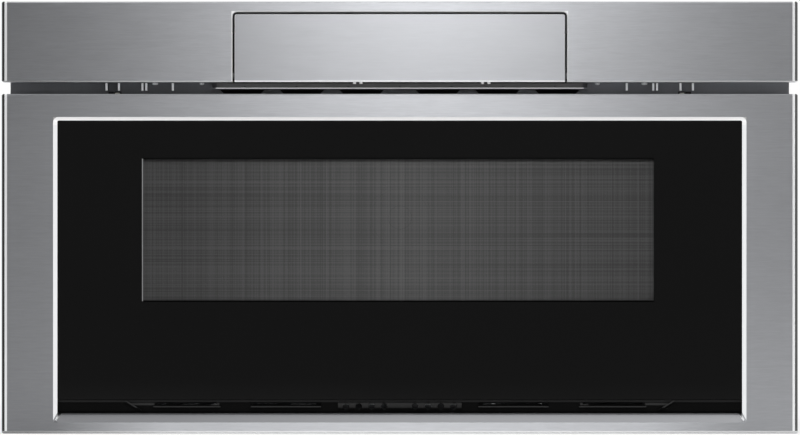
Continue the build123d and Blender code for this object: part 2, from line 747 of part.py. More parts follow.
with BuildPart() as drive_motor:
    # Flat gearbox with the motor can behind it, on a folded foot.
    with BuildSketch(side_on(MOTOR_X)):
        pane((MOTOR_Y - 20, MOTOR_Y + 46), (SHAFT_Z - 21, SHAFT_Z + 21), 9)
    extrude(amount=22)
    with BuildSketch(side_on(MOTOR_X + 22)):
        with Locations((MOTOR_Y + 24, SHAFT_Z)):
            RegularPolygon(18, 20)
    extrude(amount=52)
    chamfer(drive_motor.faces().sort_by(Axis.X)[-1].edges(), 2)
    with BuildSketch(side_on(MOTOR_X + 74)):
        with Locations((MOTOR_Y + 24, SHAFT_Z)):
            RegularPolygon(6, 12)
    extrude(amount=4)
    with BuildSketch(side_on(MOTOR_X)):
        with Locations((MOTOR_Y, SHAFT_Z)):
            Circle(MOTOR_SHAFT_R + RUNNING)
    extrude(amount=15, mode=Mode.SUBTRACT)
    foot = [(MOTOR_X + 60, GAUGE), (MOTOR_X + 2, GAUGE), (MOTOR_X + 2, SHAFT_Z - 21)]
    with BuildSketch(facing(MOTOR_Y - 16)):
        make_face(folded(foot, PLATE, Side.RIGHT))
    extrude(amount=-58)
drive_motor.part.label = "drive_motor"
export_step(drive_motor.part, "parts/drive_motor.step")

with BuildPart() as bearing_brackets:
    for bracket_x in (-271.5, 130.0, 270.0):
        # Each is a tapered upright with a bored eye, folded from its foot on the base pan.
        with BuildSketch(side_on(bracket_x)):
            with BuildLine():
                Polyline(
                    (SHAFT_Y - 17, GAUGE),
                    (SHAFT_Y + 17, GAUGE),
                    (SHAFT_Y + 9, SHAFT_Z),
                    (SHAFT_Y + 5, SHAFT_Z + 8),
                    (SHAFT_Y - 5, SHAFT_Z + 8),
                    (SHAFT_Y - 9, SHAFT_Z),
                    close=True,
                )
            make_face()
            with Locations((SHAFT_Y, SHAFT_Z)):
                Circle(SHAFT_R + RUNNING, mode=Mode.SUBTRACT)
        extrude(amount=PLATE)
        with BuildSketch(level(GAUGE)):
            pane((bracket_x - 16, bracket_x), (SHAFT_Y - 17, SHAFT_Y + 17))
        extrude(amount=PLATE)
bearing_brackets.part.label = "bearing_brackets"
export_step(bearing_brackets.part, "parts/bearing_brackets.step")

# ---------------------------------------------------------------------------------------------
# Drawer latches: hooks on the door pan enter the interlock switch housings behind the plate.
# ---------------------------------------------------------------------------------------------
HOOK_Z = 303.4

with BuildPart() as latch_hooks:
    for side in (-1, 1):
        with BuildSketch(side_on(side * HOOK_X - 2)):
            with BuildLine():
                Polyline(
                    (PAN_Y, HOOK_Z - 2),
                    (PAN_Y, HOOK_Z + 8),
                    (PAN_Y + 21, HOOK_Z + 8),
                    (PAN_Y + 27, HOOK_Z + 3),
                    (PAN_Y + 20, HOOK_Z - 1),
                    (PAN_Y + 18, HOOK_Z + 3),
                    (PAN_Y + 5, HOOK_Z + 3),
                    close=True,
                )
            make_face()
        extrude(amount=4)
latch_hooks.part.label = "latch_hooks"
export_step(latch_hooks.part, "parts/latch_hooks.step")

with BuildPart() as interlock_switches:
    for side in (-1, 1):
        with BuildSketch(side_on(side * LATCH_X - 11)):
            pane((FACE_Y, FACE_Y + 40), (282, 330))
        extrude(amount=22)
        # Hook way through the housing, and two switch bodies clipped to its back.
        brick((side * HOOK_X - 3.5, side * HOOK_X + 3.5), (FACE_Y, FACE_Y + 30), (297, 314), Mode.SUBTRACT)
        brick((side * LATCH_X - 9, side * LATCH_X + 9), (FACE_Y + 40, FACE_Y + 51), (286, 304))
        brick((side * LATCH_X - 9, side * LATCH_X + 9), (FACE_Y + 40, FACE_Y + 51), (308, 326))
interlock_switches.part.label = "interlock_switches"
export_step(interlock_switches.part, "parts/interlock_switches.step")

# ---------------------------------------------------------------------------------------------
# Fascia, its brackets, and the control bay behind its centre opening.
# ---------------------------------------------------------------------------------------------
OPENING_X = FLAP_X + FLAP_GAP
OPENING_TOP = FLAP_TOP + FLAP_GAP
CORNER = 4.0
RIM_EASE = 1.0

with BuildPart() as fascia:
    brick(both(FRONT_W / 2), (FRONT_Y, PLATE_Y), (GAP_HIGH, FASCIA_TOP))
    fillet(fascia.edges().filter_by(Axis.Z).sort_by(Axis.Y)[:2], EDGE_BEND)
    chamfer(fascia.faces().sort_by(Axis.Y)[0].edges().filter_by(Axis.X), EDGE_EASE)
    offset(amount=-SKIN, openings=fascia.faces().sort_by(Axis.Y)[-1])
    # Return flange round the top and sides of the control opening.
    with BuildSketch(facing(FRONT_Y + SKIN)):
        pane(both(OPENING_X + SKIN), (PIVOT_Z + 8, OPENING_TOP + SKIN))
    extrude(amount=-8)
    with BuildSketch(facing(FRONT_Y)):
        pane(both(OPENING_X), (GAP_HIGH - 1, OPENING_TOP - CORNER))
        pane(both(OPENING_X), (OPENING_TOP - 4 * CORNER, OPENING_TOP), CORNER)
    extrude(amount=PLATE_Y - FRONT_Y, dir=(0, 1, 0), mode=Mode.SUBTRACT)
    # The opening's front edge is pressed over.
    rim = fascia.faces().sort_by(Axis.Y)[0].edges().filter_by(
        lambda edge: abs(edge.center().X) < OPENING_X + 0.1 and edge.center().Z < OPENING_TOP + 0.1
    )
    chamfer(rim, RIM_EASE)
fascia.part.label = "fascia"
export_step(fascia.part, "parts/fascia.step")

with BuildPart() as fascia_brackets:
    # Channels between plate and fascia; their cheeks carry the control module's pins.
    cheek_x = OPENING_X + 2.0
    for side in (-1, 1):
        with BuildSketch(side_on(min(side * cheek_x, side * (cheek_x + PLATE)))):
            pane((FRONT_Y + SKIN + 0.5, PLATE_Y), (GAP_HIGH + SKIN, FLAP_TOP + 3))
            with Locations((PIVOT_Y, PIVOT_Z)):
                Circle(PIN_R + RUNNING, mode=Mode.SUBTRACT)
            pane((PIVOT_Y + 34, PIVOT_Y + 56), (GAP_HIGH + 20, FLAP_TOP - 6), 5, mode=Mode.SUBTRACT)
        extrude(amount=PLATE)
        outboard = sorted((side * (cheek_x + PLATE), side * (cheek_x + 26)))
        brick(outboard, (PLATE_Y - PLATE, PLATE_Y), (GAP_HIGH + SKIN, FLAP_TOP + 3))
        foot = sorted((side * (cheek_x + PLATE), side * (cheek_x + 80)))
        brick(foot, (PLATE_Y - 16, PLATE_Y - PLATE), (GAP_HIGH + SKIN, GAP_HIGH + SKIN + 1.2))
fascia_brackets.part.label = "fascia_brackets"
export_step(fascia_brackets.part, "parts/fascia_brackets.step")

TRAY_X = 175.4
EAR_X = 179.6
APRON_Y, APRON_LOW = PLATE_Y + 28.0, 298.0

with BuildPart() as control_tray:
    # Floor of the control bay: it steps up over the plate's edge and ends in a rear wall.
    floor_line = [
        (FRONT_Y + 4.5, TRAY_Z),
        (PLATE_Y - GAUGE, TRAY_Z),
        (PLATE_Y - GAUGE, BAY_Z[0] + GAUGE),
        (PLATE_Y + 34, BAY_Z[0] + GAUGE),
        (PLATE_Y + 34, BAY_Z[1] - 2),
    ]
    with BuildSketch(side_on(-TRAY_X)):
        make_face(folded(floor_line[:3], GAUGE, Side.RIGHT))
    extrude(amount=2 * TRAY_X)
    with BuildSketch(side_on(-BAY_X)):
        make_face(folded(floor_line[2:], GAUGE, Side.RIGHT))
    extrude(amount=2 * BAY_X)
    # Apron under the floor, behind the exhaust slots, turns the outgoing air.
    brick(both(EAR_X), (APRON_Y, APRON_Y + GAUGE), (APRON_LOW, BAY_Z[0]))
    # Ears beside the floor, bent up at their outer edge, rest against the plate.
    for side in (-1, 1):
        ear = [(side * TRAY_X, TRAY_Z), (side * EAR_X, TRAY_Z), (side * EAR_X, TRAY_Z + 3.2)]
        with BuildSketch(facing(PLATE_Y)):
            make_face(folded(ear, GAUGE, Side.RIGHT if side > 0 else Side.LEFT))
        extrude(amount=24)
    # Seven drain holes along the foot of the step.
    with BuildSketch(facing(PLATE_Y - 2 * GAUGE)):
        with Locations((0, TRAY_Z + 1.4)):
            with GridLocations(49.5, 0, 7, 1):
                RegularPolygon(0.9, 6)
    extrude(amount=-3 * GAUGE, mode=Mode.SUBTRACT)
control_tray.part.label = "control_tray"
export_step(control_tray.part, "parts/control_tray.step")

with BuildPart() as fascia_screws:
    # Pan-head screws, driven up through the fascia's lower turn into the brackets' feet.
    with BuildSketch(level(GAP_HIGH)):
        for side in (-1, 1):
            for head_x, head_r in ((234.2, 2.9), (189.4, 2.2)):
                with Locations((side * head_x, PLATE_Y - 9)):
                    RegularPolygon(head_r, 8)
    extrude(amount=-2.3)
    chamfer(fascia_screws.edges().group_by(Axis.Z)[0], 0.7)
fascia_screws.part.label = "fascia_screws"
export_step(fascia_screws.part, "parts/fascia_screws.step")

MOTOR_FACE_X = OPENING_X + 2.0 + PLATE

with BuildPart() as flap_motor:
    # Offset gear motor: its output socket, at one corner of the gearbox, takes the right pin.
    with BuildSketch(side_on(MOTOR_FACE_X)):
        with BuildLine():
            Polyline(
                (PIVOT_Y, PIVOT_Z - 4.2),
                (PIVOT_Y + 27, PIVOT_Z - 3),
                (PIVOT_Y + 32, PIVOT_Z + 2),
                (PIVOT_Y + 32, PIVOT_Z + 26),
                (PIVOT_Y + 6, PIVOT_Z + 26),
                (PIVOT_Y - 4.2, PIVOT_Z),
                (PIVOT_Y - 3.1, PIVOT_Z - 3.1),
                close=True,
            )
        make_face()
    extrude(amount=15)
    with BuildSketch(side_on(MOTOR_FACE_X + 15)):
        with Locations((PIVOT_Y + 19, PIVOT_Z + 14)):
            RegularPolygon(12, 16)
    extrude(amount=20)
    with BuildSketch(side_on(MOTOR_FACE_X)):
        with Locations((PIVOT_Y, PIVOT_Z)):
            Circle(PIN_R + RUNNING)
    extrude(amount=10, mode=Mode.SUBTRACT)
flap_motor.part.label = "flap_motor"
export_step(flap_motor.part, "parts/flap_motor.step")

# ---------------------------------------------------------------------------------------------
# Control module: skin, moulded housing, touch glass, display board and hinge pins.
# The glass lies on the wedge's long face, so a quarter turn brings it round to face the user.
# ---------------------------------------------------------------------------------------------
FLAP_SKIN = 1.0
FLAP_RETURN = 8.0
WEDGE_TOP = (PIVOT_Y - 3.5, PIVOT_Z + 57.0)
WEDGE_BACK = (PIVOT_Y + 57.0, PIVOT_Z - 2.0)

with BuildPart() as flap_skin:
    brick(both(FLAP_X), (FRONT_Y, FRONT_Y + FLAP_RETURN), (GAP_HIGH, FLAP_TOP))
    fillet(flap_skin.edges().filter_by(Axis.Y).group_by(Axis.Z)[-1], CORNER - 0.5)
    chamfer(flap_skin.faces().sort_by(Axis.Y)[0].edges(), 0.6)
    offset(amount=-FLAP_SKIN, openings=flap_skin.faces().sort_by(Axis.Y)[-1])
    with BuildSketch(side_on(-FLAP_X)):
        with Locations((PIVOT_Y, PIVOT_Z)):
            Circle(PIN_R)
    extrude(amount=2 * FLAP_X, mode=Mode.SUBTRACT)
flap_skin.part.label = "flap_skin"
export_step(flap_skin.part, "parts/flap_skin.step")

with BuildPart() as flap_screws:
    # Two pairs of small screws under the skin's lower turn.
    with BuildSketch(level(GAP_HIGH)):
        for pair_x in (-40.0, 82.0):
            with Locations((pair_x, FRONT_Y + 5)):
                with GridLocations(6.2, 0, 2, 1):
                    RegularPolygon(1.5, 6)
    extrude(amount=-1.8)
flap_screws.part.label = "flap_screws"
export_step(flap_screws.part, "parts/flap_screws.step")

HOUSING_X = FLAP_X - FLAP_SKIN - 0.1
HOUSING_WALL = 2.0
GLASS_X = 150.0
TOUCH_T = 2.0

slope_y = WEDGE_BACK[0] - WEDGE_TOP[0]
slope_z = WEDGE_BACK[1] - WEDGE_TOP[1]
slope = sqrt(slope_y**2 + slope_z**2)
wedge_normal = (0, -slope_z / slope, slope_y / slope)
wedge_middle = (0, (WEDGE_TOP[0] + WEDGE_BACK[0]) / 2, (WEDGE_TOP[1] + WEDGE_BACK[1]) / 2)
wedge_face = Plane(origin=wedge_middle, x_dir=(1, 0, 0), z_dir=wedge_normal)


HOUSING_Y = FRONT_Y + FLAP_SKIN + 0.2
HOUSING_LOW = GAP_HIGH + FLAP_SKIN + 0.2
KEEL_Y = FRONT_Y + FLAP_RETURN + 6


def under_glass(y, depth):
    """Height of the line that runs at a depth below the wedge's long face."""
    return WEDGE_TOP[1] + ((y - WEDGE_TOP[0]) * slope_z - depth * slope) / slope_y


with BuildPart() as control_housing:
    with BuildSketch(side_on(-HOUSING_X)):
        with BuildLine():
            Polyline(
                (HOUSING_Y, HOUSING_LOW),
                (HOUSING_Y, WEDGE_TOP[1]),
                WEDGE_TOP,
                WEDGE_BACK,
                (KEEL_Y, HOUSING_LOW),
                close=True,
            )
        make_face()
    extrude(amount=2 * HOUSING_X)
    with BuildSketch(side_on(-HOUSING_X + HOUSING_WALL)):
        near, far = HOUSING_Y + HOUSING_WALL, WEDGE_BACK[0] - 9
        roof = HOUSING_WALL + 1
        with BuildLine():
            Polyline(
                (near, HOUSING_LOW + HOUSING_WALL),
                (near, under_glass(near, roof)),
                (far, under_glass(far, roof)),
                (KEEL_Y, HOUSING_LOW + HOUSING_WALL),
                close=True,
            )
        make_face()
    extrude(amount=2 * (HOUSING_X - HOUSING_WALL), mode=Mode.SUBTRACT)
    # Seat for the glass, and the board's opening through the wall under it.
    with BuildSketch(wedge_face):
        Rectangle(2 * GLASS_X, slope - 10)
    extrude(amount=-TOUCH_T, mode=Mode.SUBTRACT)
    with BuildSketch(wedge_face):
        Rectangle(2 * GLASS_X - 12, slope - 26)
    extrude(amount=-9, mode=Mode.SUBTRACT)
    # Bosses for the pins, inside each cheek.
    for side in (-1, 1):
        with BuildSketch(side_on(min(side * HOUSING_X, side * (HOUSING_X - 8)))):
            with Locations((PIVOT_Y, PIVOT_Z)):
                Circle(PIN_R + 1.4)
        extrude(amount=8)
    with BuildSketch(side_on(-HOUSING_X)):
        with Locations((PIVOT_Y, PIVOT_Z)):
            Circle(PIN_R)
    extrude(amount=2 * HOUSING_X, mode=Mode.SUBTRACT)
control_housing.part.label = "control_housing"
export_step(control_housing.part, "parts/control_housing.step")

with BuildPart() as touch_glass:
    with BuildSketch(wedge_face.offset(-TOUCH_T)):
        RectangleRounded(2 * GLASS_X - 0.6, slope - 10.6, 2)
    extrude(amount=TOUCH_T)
    chamfer(touch_glass.faces().sort_by(Axis((0, 0, 0), wedge_normal))[-1].edges(), 0.4)
touch_glass.part.label = "touch_glass"
export_step(touch_glass.part, "parts/touch_glass.step")

with BuildPart() as display_board:
    with BuildSketch(wedge_face.offset(-TOUCH_T - 4)):
        Rectangle(2 * GLASS_X - 16, slope - 32)
    extrude(amount=1.6)
    # Display window module and its driver parts.
    with BuildSketch(wedge_face.offset(-TOUCH_T - 2.4)):
        with Locations((-60, 6)):
            Rectangle(86, 24)
        with Locations((60, 6)):
            with GridLocations(20, 18, 5, 2):
                Rectangle(9, 9)
    extrude(amount=2.2)
display_board.part.label = "display_board"
export_step(display_board.part, "parts/display_board.step")

with BuildPart() as hinge_pins:
    for side, reach in ((-1, MOTOR_FACE_X + 1), (1, MOTOR_FACE_X + 9)):
        with BuildSketch(side_on(min(side * (HOUSING_X - 8), side * reach))):
            with Locations((PIVOT_Y, PIVOT_Z)):
                Circle(PIN_R)
        extrude(amount=reach - HOUSING_X + 8)
hinge_pins.part.label = "hinge_pins"
export_step(hinge_pins.part, "parts/hinge_pins.step")

# ---------------------------------------------------------------------------------------------
# Drawer front: stainless frame with a bevelled recess, glass, screen, pan and lower vent.
# ---------------------------------------------------------------------------------------------
FRAME_Z = (-DROP, GAP_LOW)
OPEN_FRONT_X, OPEN_FRONT_Z = 330.4, (-3.5, 287.6)
OPEN_BACK_X, OPEN_BACK_Z = 326.4, (0.8, 284.3)
LEDGE_Y, LEDGE_Z = FRONT_Y + 6.2, 5.2  # the lower bevel runs on to here, under the vent
GLASS_Y = FRONT_Y + RECESS
FRAME_BACK = PAN_Y - PLATE
GLASS_Z = (17.9, 289.0)
FRAME_TURN = 12.0


def recess(grow, near, far):
    """The tapering opening of the drawer frame between two depths, grown outward all round."""
    front = (OPEN_FRONT_X, OPEN_FRONT_Z, 5.0)
    back = (OPEN_BACK_X, OPEN_BACK_Z, 1.5)
    with BuildPart(mode=Mode.PRIVATE) as funnel:
        for depth, (half, (low, high), corner) in ((near, front), (far, back)):
            with BuildSketch(facing(depth)):
                # Only the two upper corners are rounded.
                radius = corner + grow
                pane(both(half + grow), (low - grow, high + grow - 2 * radius))
                pane(both(half + grow), (high + grow - 3 * radius, high + grow), radius)
        loft()
    return funnel.part


with BuildPart() as drawer_frame:
    brick(both(FRONT_W / 2), (FRONT_Y, FRAME_BACK), FRAME_Z)
    fillet(drawer_frame.edges().filter_by(Axis.Z).sort_by(Axis.Y)[:2], EDGE_BEND)
    chamfer(drawer_frame.faces().sort_by(Axis.Y)[0].edges().filter_by(Axis.X), EDGE_EASE)
    offset(amount=-SKIN, openings=drawer_frame.faces().sort_by(Axis.Y)[-1])
    # Sheet turned in at the back, where the door pan screws on.
    with BuildSketch(facing(FRAME_BACK - SKIN)):
        low, high = FRAME_Z
        pane(both(FRONT_W / 2 - SKIN), (low + SKIN, high - SKIN))
        inner = FRAME_TURN + SKIN
        pane(both(FRONT_W / 2 - inner), (low + inner - 4, high - inner), mode=Mode.SUBTRACT)
    extrude(amount=-SKIN)
    add(recess(SKIN, FRONT_Y + 0.2, GLASS_Y))
    add(recess(0, FRONT_Y, GLASS_Y), mode=Mode.SUBTRACT)
    with BuildSketch(side_on(-OPEN_BACK_X)):
        ledge = [(GLASS_Y - 0.4, OPEN_BACK_Z[0] - 0.6), (LEDGE_Y, LEDGE_Z)]
        make_face(folded(ledge, SKIN, Side.RIGHT))
    extrude(amount=2 * OPEN_BACK_X)
drawer_frame.part.label = "drawer_frame"
export_step(drawer_frame.part, "parts/drawer_frame.step")

with BuildPart() as door_glass:
    with BuildSketch(facing(GLASS_Y)):
        pane(both(331), GLASS_Z, 3)
    extrude(amount=-GLASS)
    chamfer(door_glass.faces().sort_by(Axis.Y)[0].edges(), 0.5)
door_glass.part.label = "door_glass"
export_step(door_glass.part, "parts/door_glass.step")

SCREEN_Y = GLASS_Y + GLASS
SCREEN_T = 0.6

with BuildPart() as window_screen:
    low, high = WINDOW_Z
    with BuildSketch(facing(SCREEN_Y)):
        pane(both(WINDOW_X + 8), (low - 8, high + 8), 4)
    extrude(amount=-SCREEN_T)
window_screen.part.label = "window_screen"
export_step(window_screen.part, "parts/window_screen.step")

PAN_FRONT = SCREEN_Y + SCREEN_T
TUNNEL = 1.5

with BuildPart() as door_pan:
    low, high = FRAME_Z
    with BuildSketch(facing(FRAME_BACK)):
        pane(both(FRONT_W / 2 - 2.5), (low + 2.5, high - 2.5), 3)
    extrude(amount=-PLATE)
    # Pressed wall behind the glass, and the viewing tunnel from the screen to the tub.
    with BuildSketch(facing(SCREEN_Y)):
        pane(both(322), (26, 282), 10)
        pane(both(322 - PLATE), (26 + PLATE, 282 - PLATE), 8.5, mode=Mode.SUBTRACT)
    extrude(amount=SCREEN_Y - FRAME_BACK)
    with BuildSketch(facing(PAN_FRONT)):
        pane(both(WINDOW_X + TUNNEL), (WINDOW_Z[0] - TUNNEL, WINDOW_Z[1] + TUNNEL))
    extrude(amount=PAN_FRONT - FRAME_BACK)
    with BuildSketch(facing(PAN_FRONT)):
        pane(both(WINDOW_X), WINDOW_Z)
    extrude(amount=PAN_FRONT - PAN_Y, mode=Mode.SUBTRACT)
    # Air slots at the foot of the pan, behind the lower vent.
    with BuildSketch(facing(FRAME_BACK)):
        with Locations((0, 10)):
            with GridLocations(72, 0, 8, 1):
                Rectangle(56, 8)
    extrude(amount=-PLATE, mode=Mode.SUBTRACT)
door_pan.part.label = "door_pan"
export_step(door_pan.part, "parts/door_pan.step")

with BuildPart() as choke_cover:
    with BuildSketch(facing(PAN_Y)):
        pane(both(282), (78, 288), 12)
        pane(both(TUB_X + 1), (TUB_Z[0] - 1, TUB_Z[1] + 1), mode=Mode.SUBTRACT)
    extrude(amount=-2)
choke_cover.part.label = "choke_cover"
export_step(choke_cover.part, "parts/choke_cover.step")

VENT_X = 326.0
VENT_Z = (5.4, 17.7)
VENT_FACE = GLASS_Y + 4.0
VENT_BACK = GLASS_Y + 30.0
LIP_OUT = 3.0  # the raised lips stand this far in front of the moulding's face
LIP = (10.9, 11.7, 13.8)  # heights of a lip's underside, crest and upper edge
PANEL = (9.4, 12.8, 16.4)  # the same for the raised panel in the middle
PANEL_W = 118.0
SLOTS = ((203.0, 57, 64), (108.5, 66, 67))  # each slot's distance from the middle, its length, its lip's

with BuildPart() as lower_vent:
    # Black moulding under the glass: an upright face on a floor that runs back to the pan.
    with BuildSketch(side_on(-VENT_X)):
        with BuildLine():
            Polyline(
                (VENT_FACE, VENT_Z[1]),
                (VENT_FACE, VENT_Z[0] + 2),
                (GLASS_Y + 0.2, VENT_Z[0]),
                (VENT_BACK, VENT_Z[0] - 1),
                (VENT_BACK, VENT_Z[0] + 1),
                (VENT_FACE + 3, VENT_Z[0] + 2),
                (VENT_FACE + 2, VENT_Z[1]),
                close=True,
            )
        make_face()
    extrude(amount=2 * VENT_X)
    # Raised lips under the slots and a panel in the middle, each sloping back to its upper edge.
    raised = [(side * away, long, LIP) for side in (-1, 1) for away, length, long in SLOTS]
    for centre, length, (low, crest, high) in [*raised, (0, PANEL_W, PANEL)]:
        with BuildSketch(side_on(centre - length / 2)):
            with BuildLine():
                Polyline(
                    (VENT_FACE, low),
                    (VENT_FACE - LIP_OUT, low),
                    (VENT_FACE - LIP_OUT, crest),
                    (VENT_FACE, high),
                    close=True,
                )
            make_face()
        extrude(amount=length)
    # Slanted ribs where the moulding's ends turn back.
    with BuildSketch(facing(VENT_FACE)):
        for side in (-1, 1):
            with Locations((side * 254, 12.4)):
                Rectangle(18, 1.2, rotation=side * 32)
    extrude(amount=LIP_OUT)
    with BuildSketch(facing(VENT_FACE - LIP_OUT - 1)):
        for side in (-1, 1):
            for away, length, lip_length in SLOTS:
                with Locations((side * away, 14.8)):
                    Rectangle(length, 1.9)
            with Locations((side * 33, 11.8)):
                with GridLocations(12.2, 0, 4, 1):
                    RegularPolygon(3.2, 12)
    extrude(amount=-14, mode=Mode.SUBTRACT)
lower_vent.part.label = "lower_vent"
export_step(lower_vent.part, "parts/lower_vent.step")

with BuildPart() as drawer_tub:
    brick(both(TUB_X), (PAN_Y, TUB_BACK), TUB_Z)
    fillet(drawer_tub.edges().filter_by(Axis.Z).sort_by(Axis.Y)[-2:], 14)
    chamfer(drawer_tub.faces().sort_by(Axis.Z)[0].edges().sort_by(Axis.Y)[1:], 6)
    offset(amount=-TUB_WALL, openings=drawer_tub.faces().sort_by(Axis.Z)[-1])
    # Rolled rim along the two sides and the back.
    with BuildSketch(level(TUB_Z[1] - TUB_WALL)):
        pane(both(TUB_X + 2.4), (PAN_Y + 4, TUB_BACK + 2.4), 15)
        pane(both(TUB_X - TUB_WALL), (PAN_Y + TUB_WALL, TUB_BACK - TUB_WALL), 13, mode=Mode.SUBTRACT)
    extrude(amount=TUB_WALL)
    with BuildSketch(facing(PAN_Y)):
        pane(both(WINDOW_X), WINDOW_Z)
    extrude(amount=-TUB_WALL, mode=Mode.SUBTRACT)
    # The floor is open under the ceramic plate, which rests on the ledge that is left.
    with BuildSketch(level(TUB_Z[0])):
        pane(both(220), (PAN_Y + 30, TUB_BACK - 30), 12)
    extrude(amount=TUB_WALL, mode=Mode.SUBTRACT)
drawer_tub.part.label = "drawer_tub"
export_step(drawer_tub.part, "parts/drawer_tub.step")

with BuildPart() as tub_floor:
    with BuildSketch(level(TUB_Z[0] + TUB_WALL)):
        pane(both(238), (PAN_Y + 13, TUB_BACK - 13), 14)
    extrude(amount=4)
    chamfer(tub_floor.edges().group_by(Axis.Z)[-1], 1)
tub_floor.part.label = "tub_floor"
export_step(tub_floor.part, "parts/tub_floor.step")

with BuildPart() as bumpers:
    # Rubber buttons at the pan's corners meet the front frame when the drawer shuts.
    with BuildSketch(facing(PAN_Y)):
        with Locations((0, 165)):
            with GridLocations(672, 220, 2, 2):
                RegularPolygon(6, 12)
    extrude(amount=PAN_Y - PLATE_Y)
bumpers.part.label = "bumpers"
export_step(bumpers.part, "parts/bumpers.step")

with BuildPart() as door_screws:
    # Hexagon-head sheet-metal screws round the door pan's edge.
    with BuildSketch(facing(PAN_Y)):
        with Locations((0, 300)):
            with GridLocations(140, 0, 5, 1):
                RegularPolygon(3.6, 6)
        for side in (-1, 1):
            with Locations((side * 370, 150)):
                with GridLocations(0, 130, 1, 3):
                    RegularPolygon(3.6, 6)
    extrude(amount=-1.8)
door_screws.part.label = "door_screws"
export_step(door_screws.part, "parts/door_screws.step")

with BuildPart() as chassis_screws:
    # Hexagon-head screws through the base pan's and the cover's lips into the side panels.
    for side in (-1, 1):
        with BuildSketch(side_on(side * HALF_W)):
            with Locations((0, CHASSIS_H - 10), (0, 14)):
                with GridLocations(250, 0, 3, 1):
                    RegularPolygon(3.6, 6)
        extrude(amount=side * 1.8)
chassis_screws.part.label = "chassis_screws"
export_step(chassis_screws.part, "parts/chassis_screws.step")
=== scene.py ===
"""Looks and studio for a built-in microwave drawer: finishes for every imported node, a pale floor,
soft light and a camera square to the front. Metres.
"""

from math import pi
import bpy
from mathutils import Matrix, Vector


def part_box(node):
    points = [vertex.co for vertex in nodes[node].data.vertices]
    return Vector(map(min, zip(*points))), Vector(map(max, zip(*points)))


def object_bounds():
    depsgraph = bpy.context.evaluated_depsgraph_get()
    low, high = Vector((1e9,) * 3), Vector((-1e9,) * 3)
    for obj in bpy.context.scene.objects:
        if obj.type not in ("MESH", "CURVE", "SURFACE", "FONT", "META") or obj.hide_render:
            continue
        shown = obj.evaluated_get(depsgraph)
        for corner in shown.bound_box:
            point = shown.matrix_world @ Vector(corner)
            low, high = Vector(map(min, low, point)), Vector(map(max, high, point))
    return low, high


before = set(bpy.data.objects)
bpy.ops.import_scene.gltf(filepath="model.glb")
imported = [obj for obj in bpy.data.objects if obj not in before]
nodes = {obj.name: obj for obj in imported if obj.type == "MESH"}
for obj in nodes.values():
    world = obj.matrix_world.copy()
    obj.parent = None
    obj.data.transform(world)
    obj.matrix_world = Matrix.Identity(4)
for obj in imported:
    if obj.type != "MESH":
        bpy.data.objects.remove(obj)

cad_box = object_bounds()

# ---------------------------------------------------------------------------------------------
# Chassis sheets: base pan, side panels, back panel, top cover, waveguide and brackets are folded
# from galvanised steel sheet about 1.2 mm thick, with louvres punched through the outer ones.
# ---------------------------------------------------------------------------------------------


class Socket:
    """An output socket of a node tree, with arithmetic that adds the Math nodes for it."""

    def __init__(self, tree, output=None):
        self.tree = tree
        self.output = output

    def node(self, kind, settings, sockets, result=0):
        """Adds a node: first its settings, then the values or links of its sockets."""
        made = self.tree.nodes.new(kind)
        for name, value in settings.items():
            if name == "stops":
                stops = made.color_ramp.elements
                while len(stops) < len(value):
                    stops.new(0.5)
                for stop, (place, tone) in zip(stops, value):
                    stop.position = place
                    stop.color = (tone, tone, tone, 1)
            else:
                setattr(made, name, value)
        for name, value in sockets.items():
            if isinstance(value, Socket):
                self.tree.links.new(value.output, made.inputs[name])
            else:
                made.inputs[name].default_value = value
        return Socket(self.tree, made.outputs[result] if made.outputs else None)

    def maths(self, operation, first, second=0.0):
        return self.node("ShaderNodeMath", {"operation": operation}, {0: first, 1: second})

    def __add__(self, other):
        return self.maths("ADD", self, other)

    __radd__ = __add__

    def __sub__(self, other):
        return self.maths("SUBTRACT", self, other)

    def __rsub__(self, other):
        return self.maths("SUBTRACT", other, self)

    def __mul__(self, other):
        return self.maths("MULTIPLY", self, other)

    __rmul__ = __mul__

    def __truediv__(self, other):
        return self.maths("DIVIDE", self, other)

    def __gt__(self, other):
        return self.maths("GREATER_THAN", self, other)

    def __lt__(self, other):
        return self.maths("LESS_THAN", self, other)

    def __mod__(self, other):
        return self.maths("FLOORED_MODULO", self, other)

    def __abs__(self):
        return self.maths("ABSOLUTE", self)

    def axis(self, name):
        return self.node("ShaderNodeSeparateXYZ", {}, {0: self}, name)

    def stretched(self, across, deep, high):
        """Coordinates multiplied axis by axis, so that a texture becomes streaks or bands."""
        factors = (across, deep, high)
        return self.node("ShaderNodeVectorMath", {"operation": "MULTIPLY"}, {0: self, 1: factors})

    def noise(self, scale, detail=2.0):
        sockets = {"Vector": self, "Scale": scale, "Detail": detail}
        return self.node("ShaderNodeTexNoise", {}, sockets)

    def ramp(self, *stops):
        return self.node("ShaderNodeValToRGB", {"stops": stops}, {0: self})

    def between(self, first, second):
        """The colour that lies this far from the first colour towards the second."""
        return self.node("ShaderNodeMix", {"data_type": "RGBA"}, {0: self, 6: first, 7: second}, 2)

    def bump(self, strength, depth):
        sockets = {"Strength": strength, "Distance": depth, "Height": self}
        return self.node("ShaderNodeBump", {}, sockets)


def finish(name):
    """A new material, and the coordinates of the mesh that wears it."""
    material = bpy.data.materials.new(name)
    material.use_nodes = True
    material.node_tree.nodes.clear()
    place = Socket(material.node_tree).node("ShaderNodeTexCoord", {}, {}, "Object")
    return material, place


def shade(place, **sockets):
    """Ends a material with a Principled shader; socket names have _ for their spaces."""
    values = {name.replace("_", " "): value for name, value in sockets.items()}
    surface = place.node("ShaderNodeBsdfPrincipled", {}, values)
    place.node("ShaderNodeOutputMaterial", {}, {"Surface": surface})


def grey(level, warm=0.0):
    """A grey, a little warm above 0 and a little cool below it."""
    return (level * (1 + warm), level, level * (1 - warm), 1)


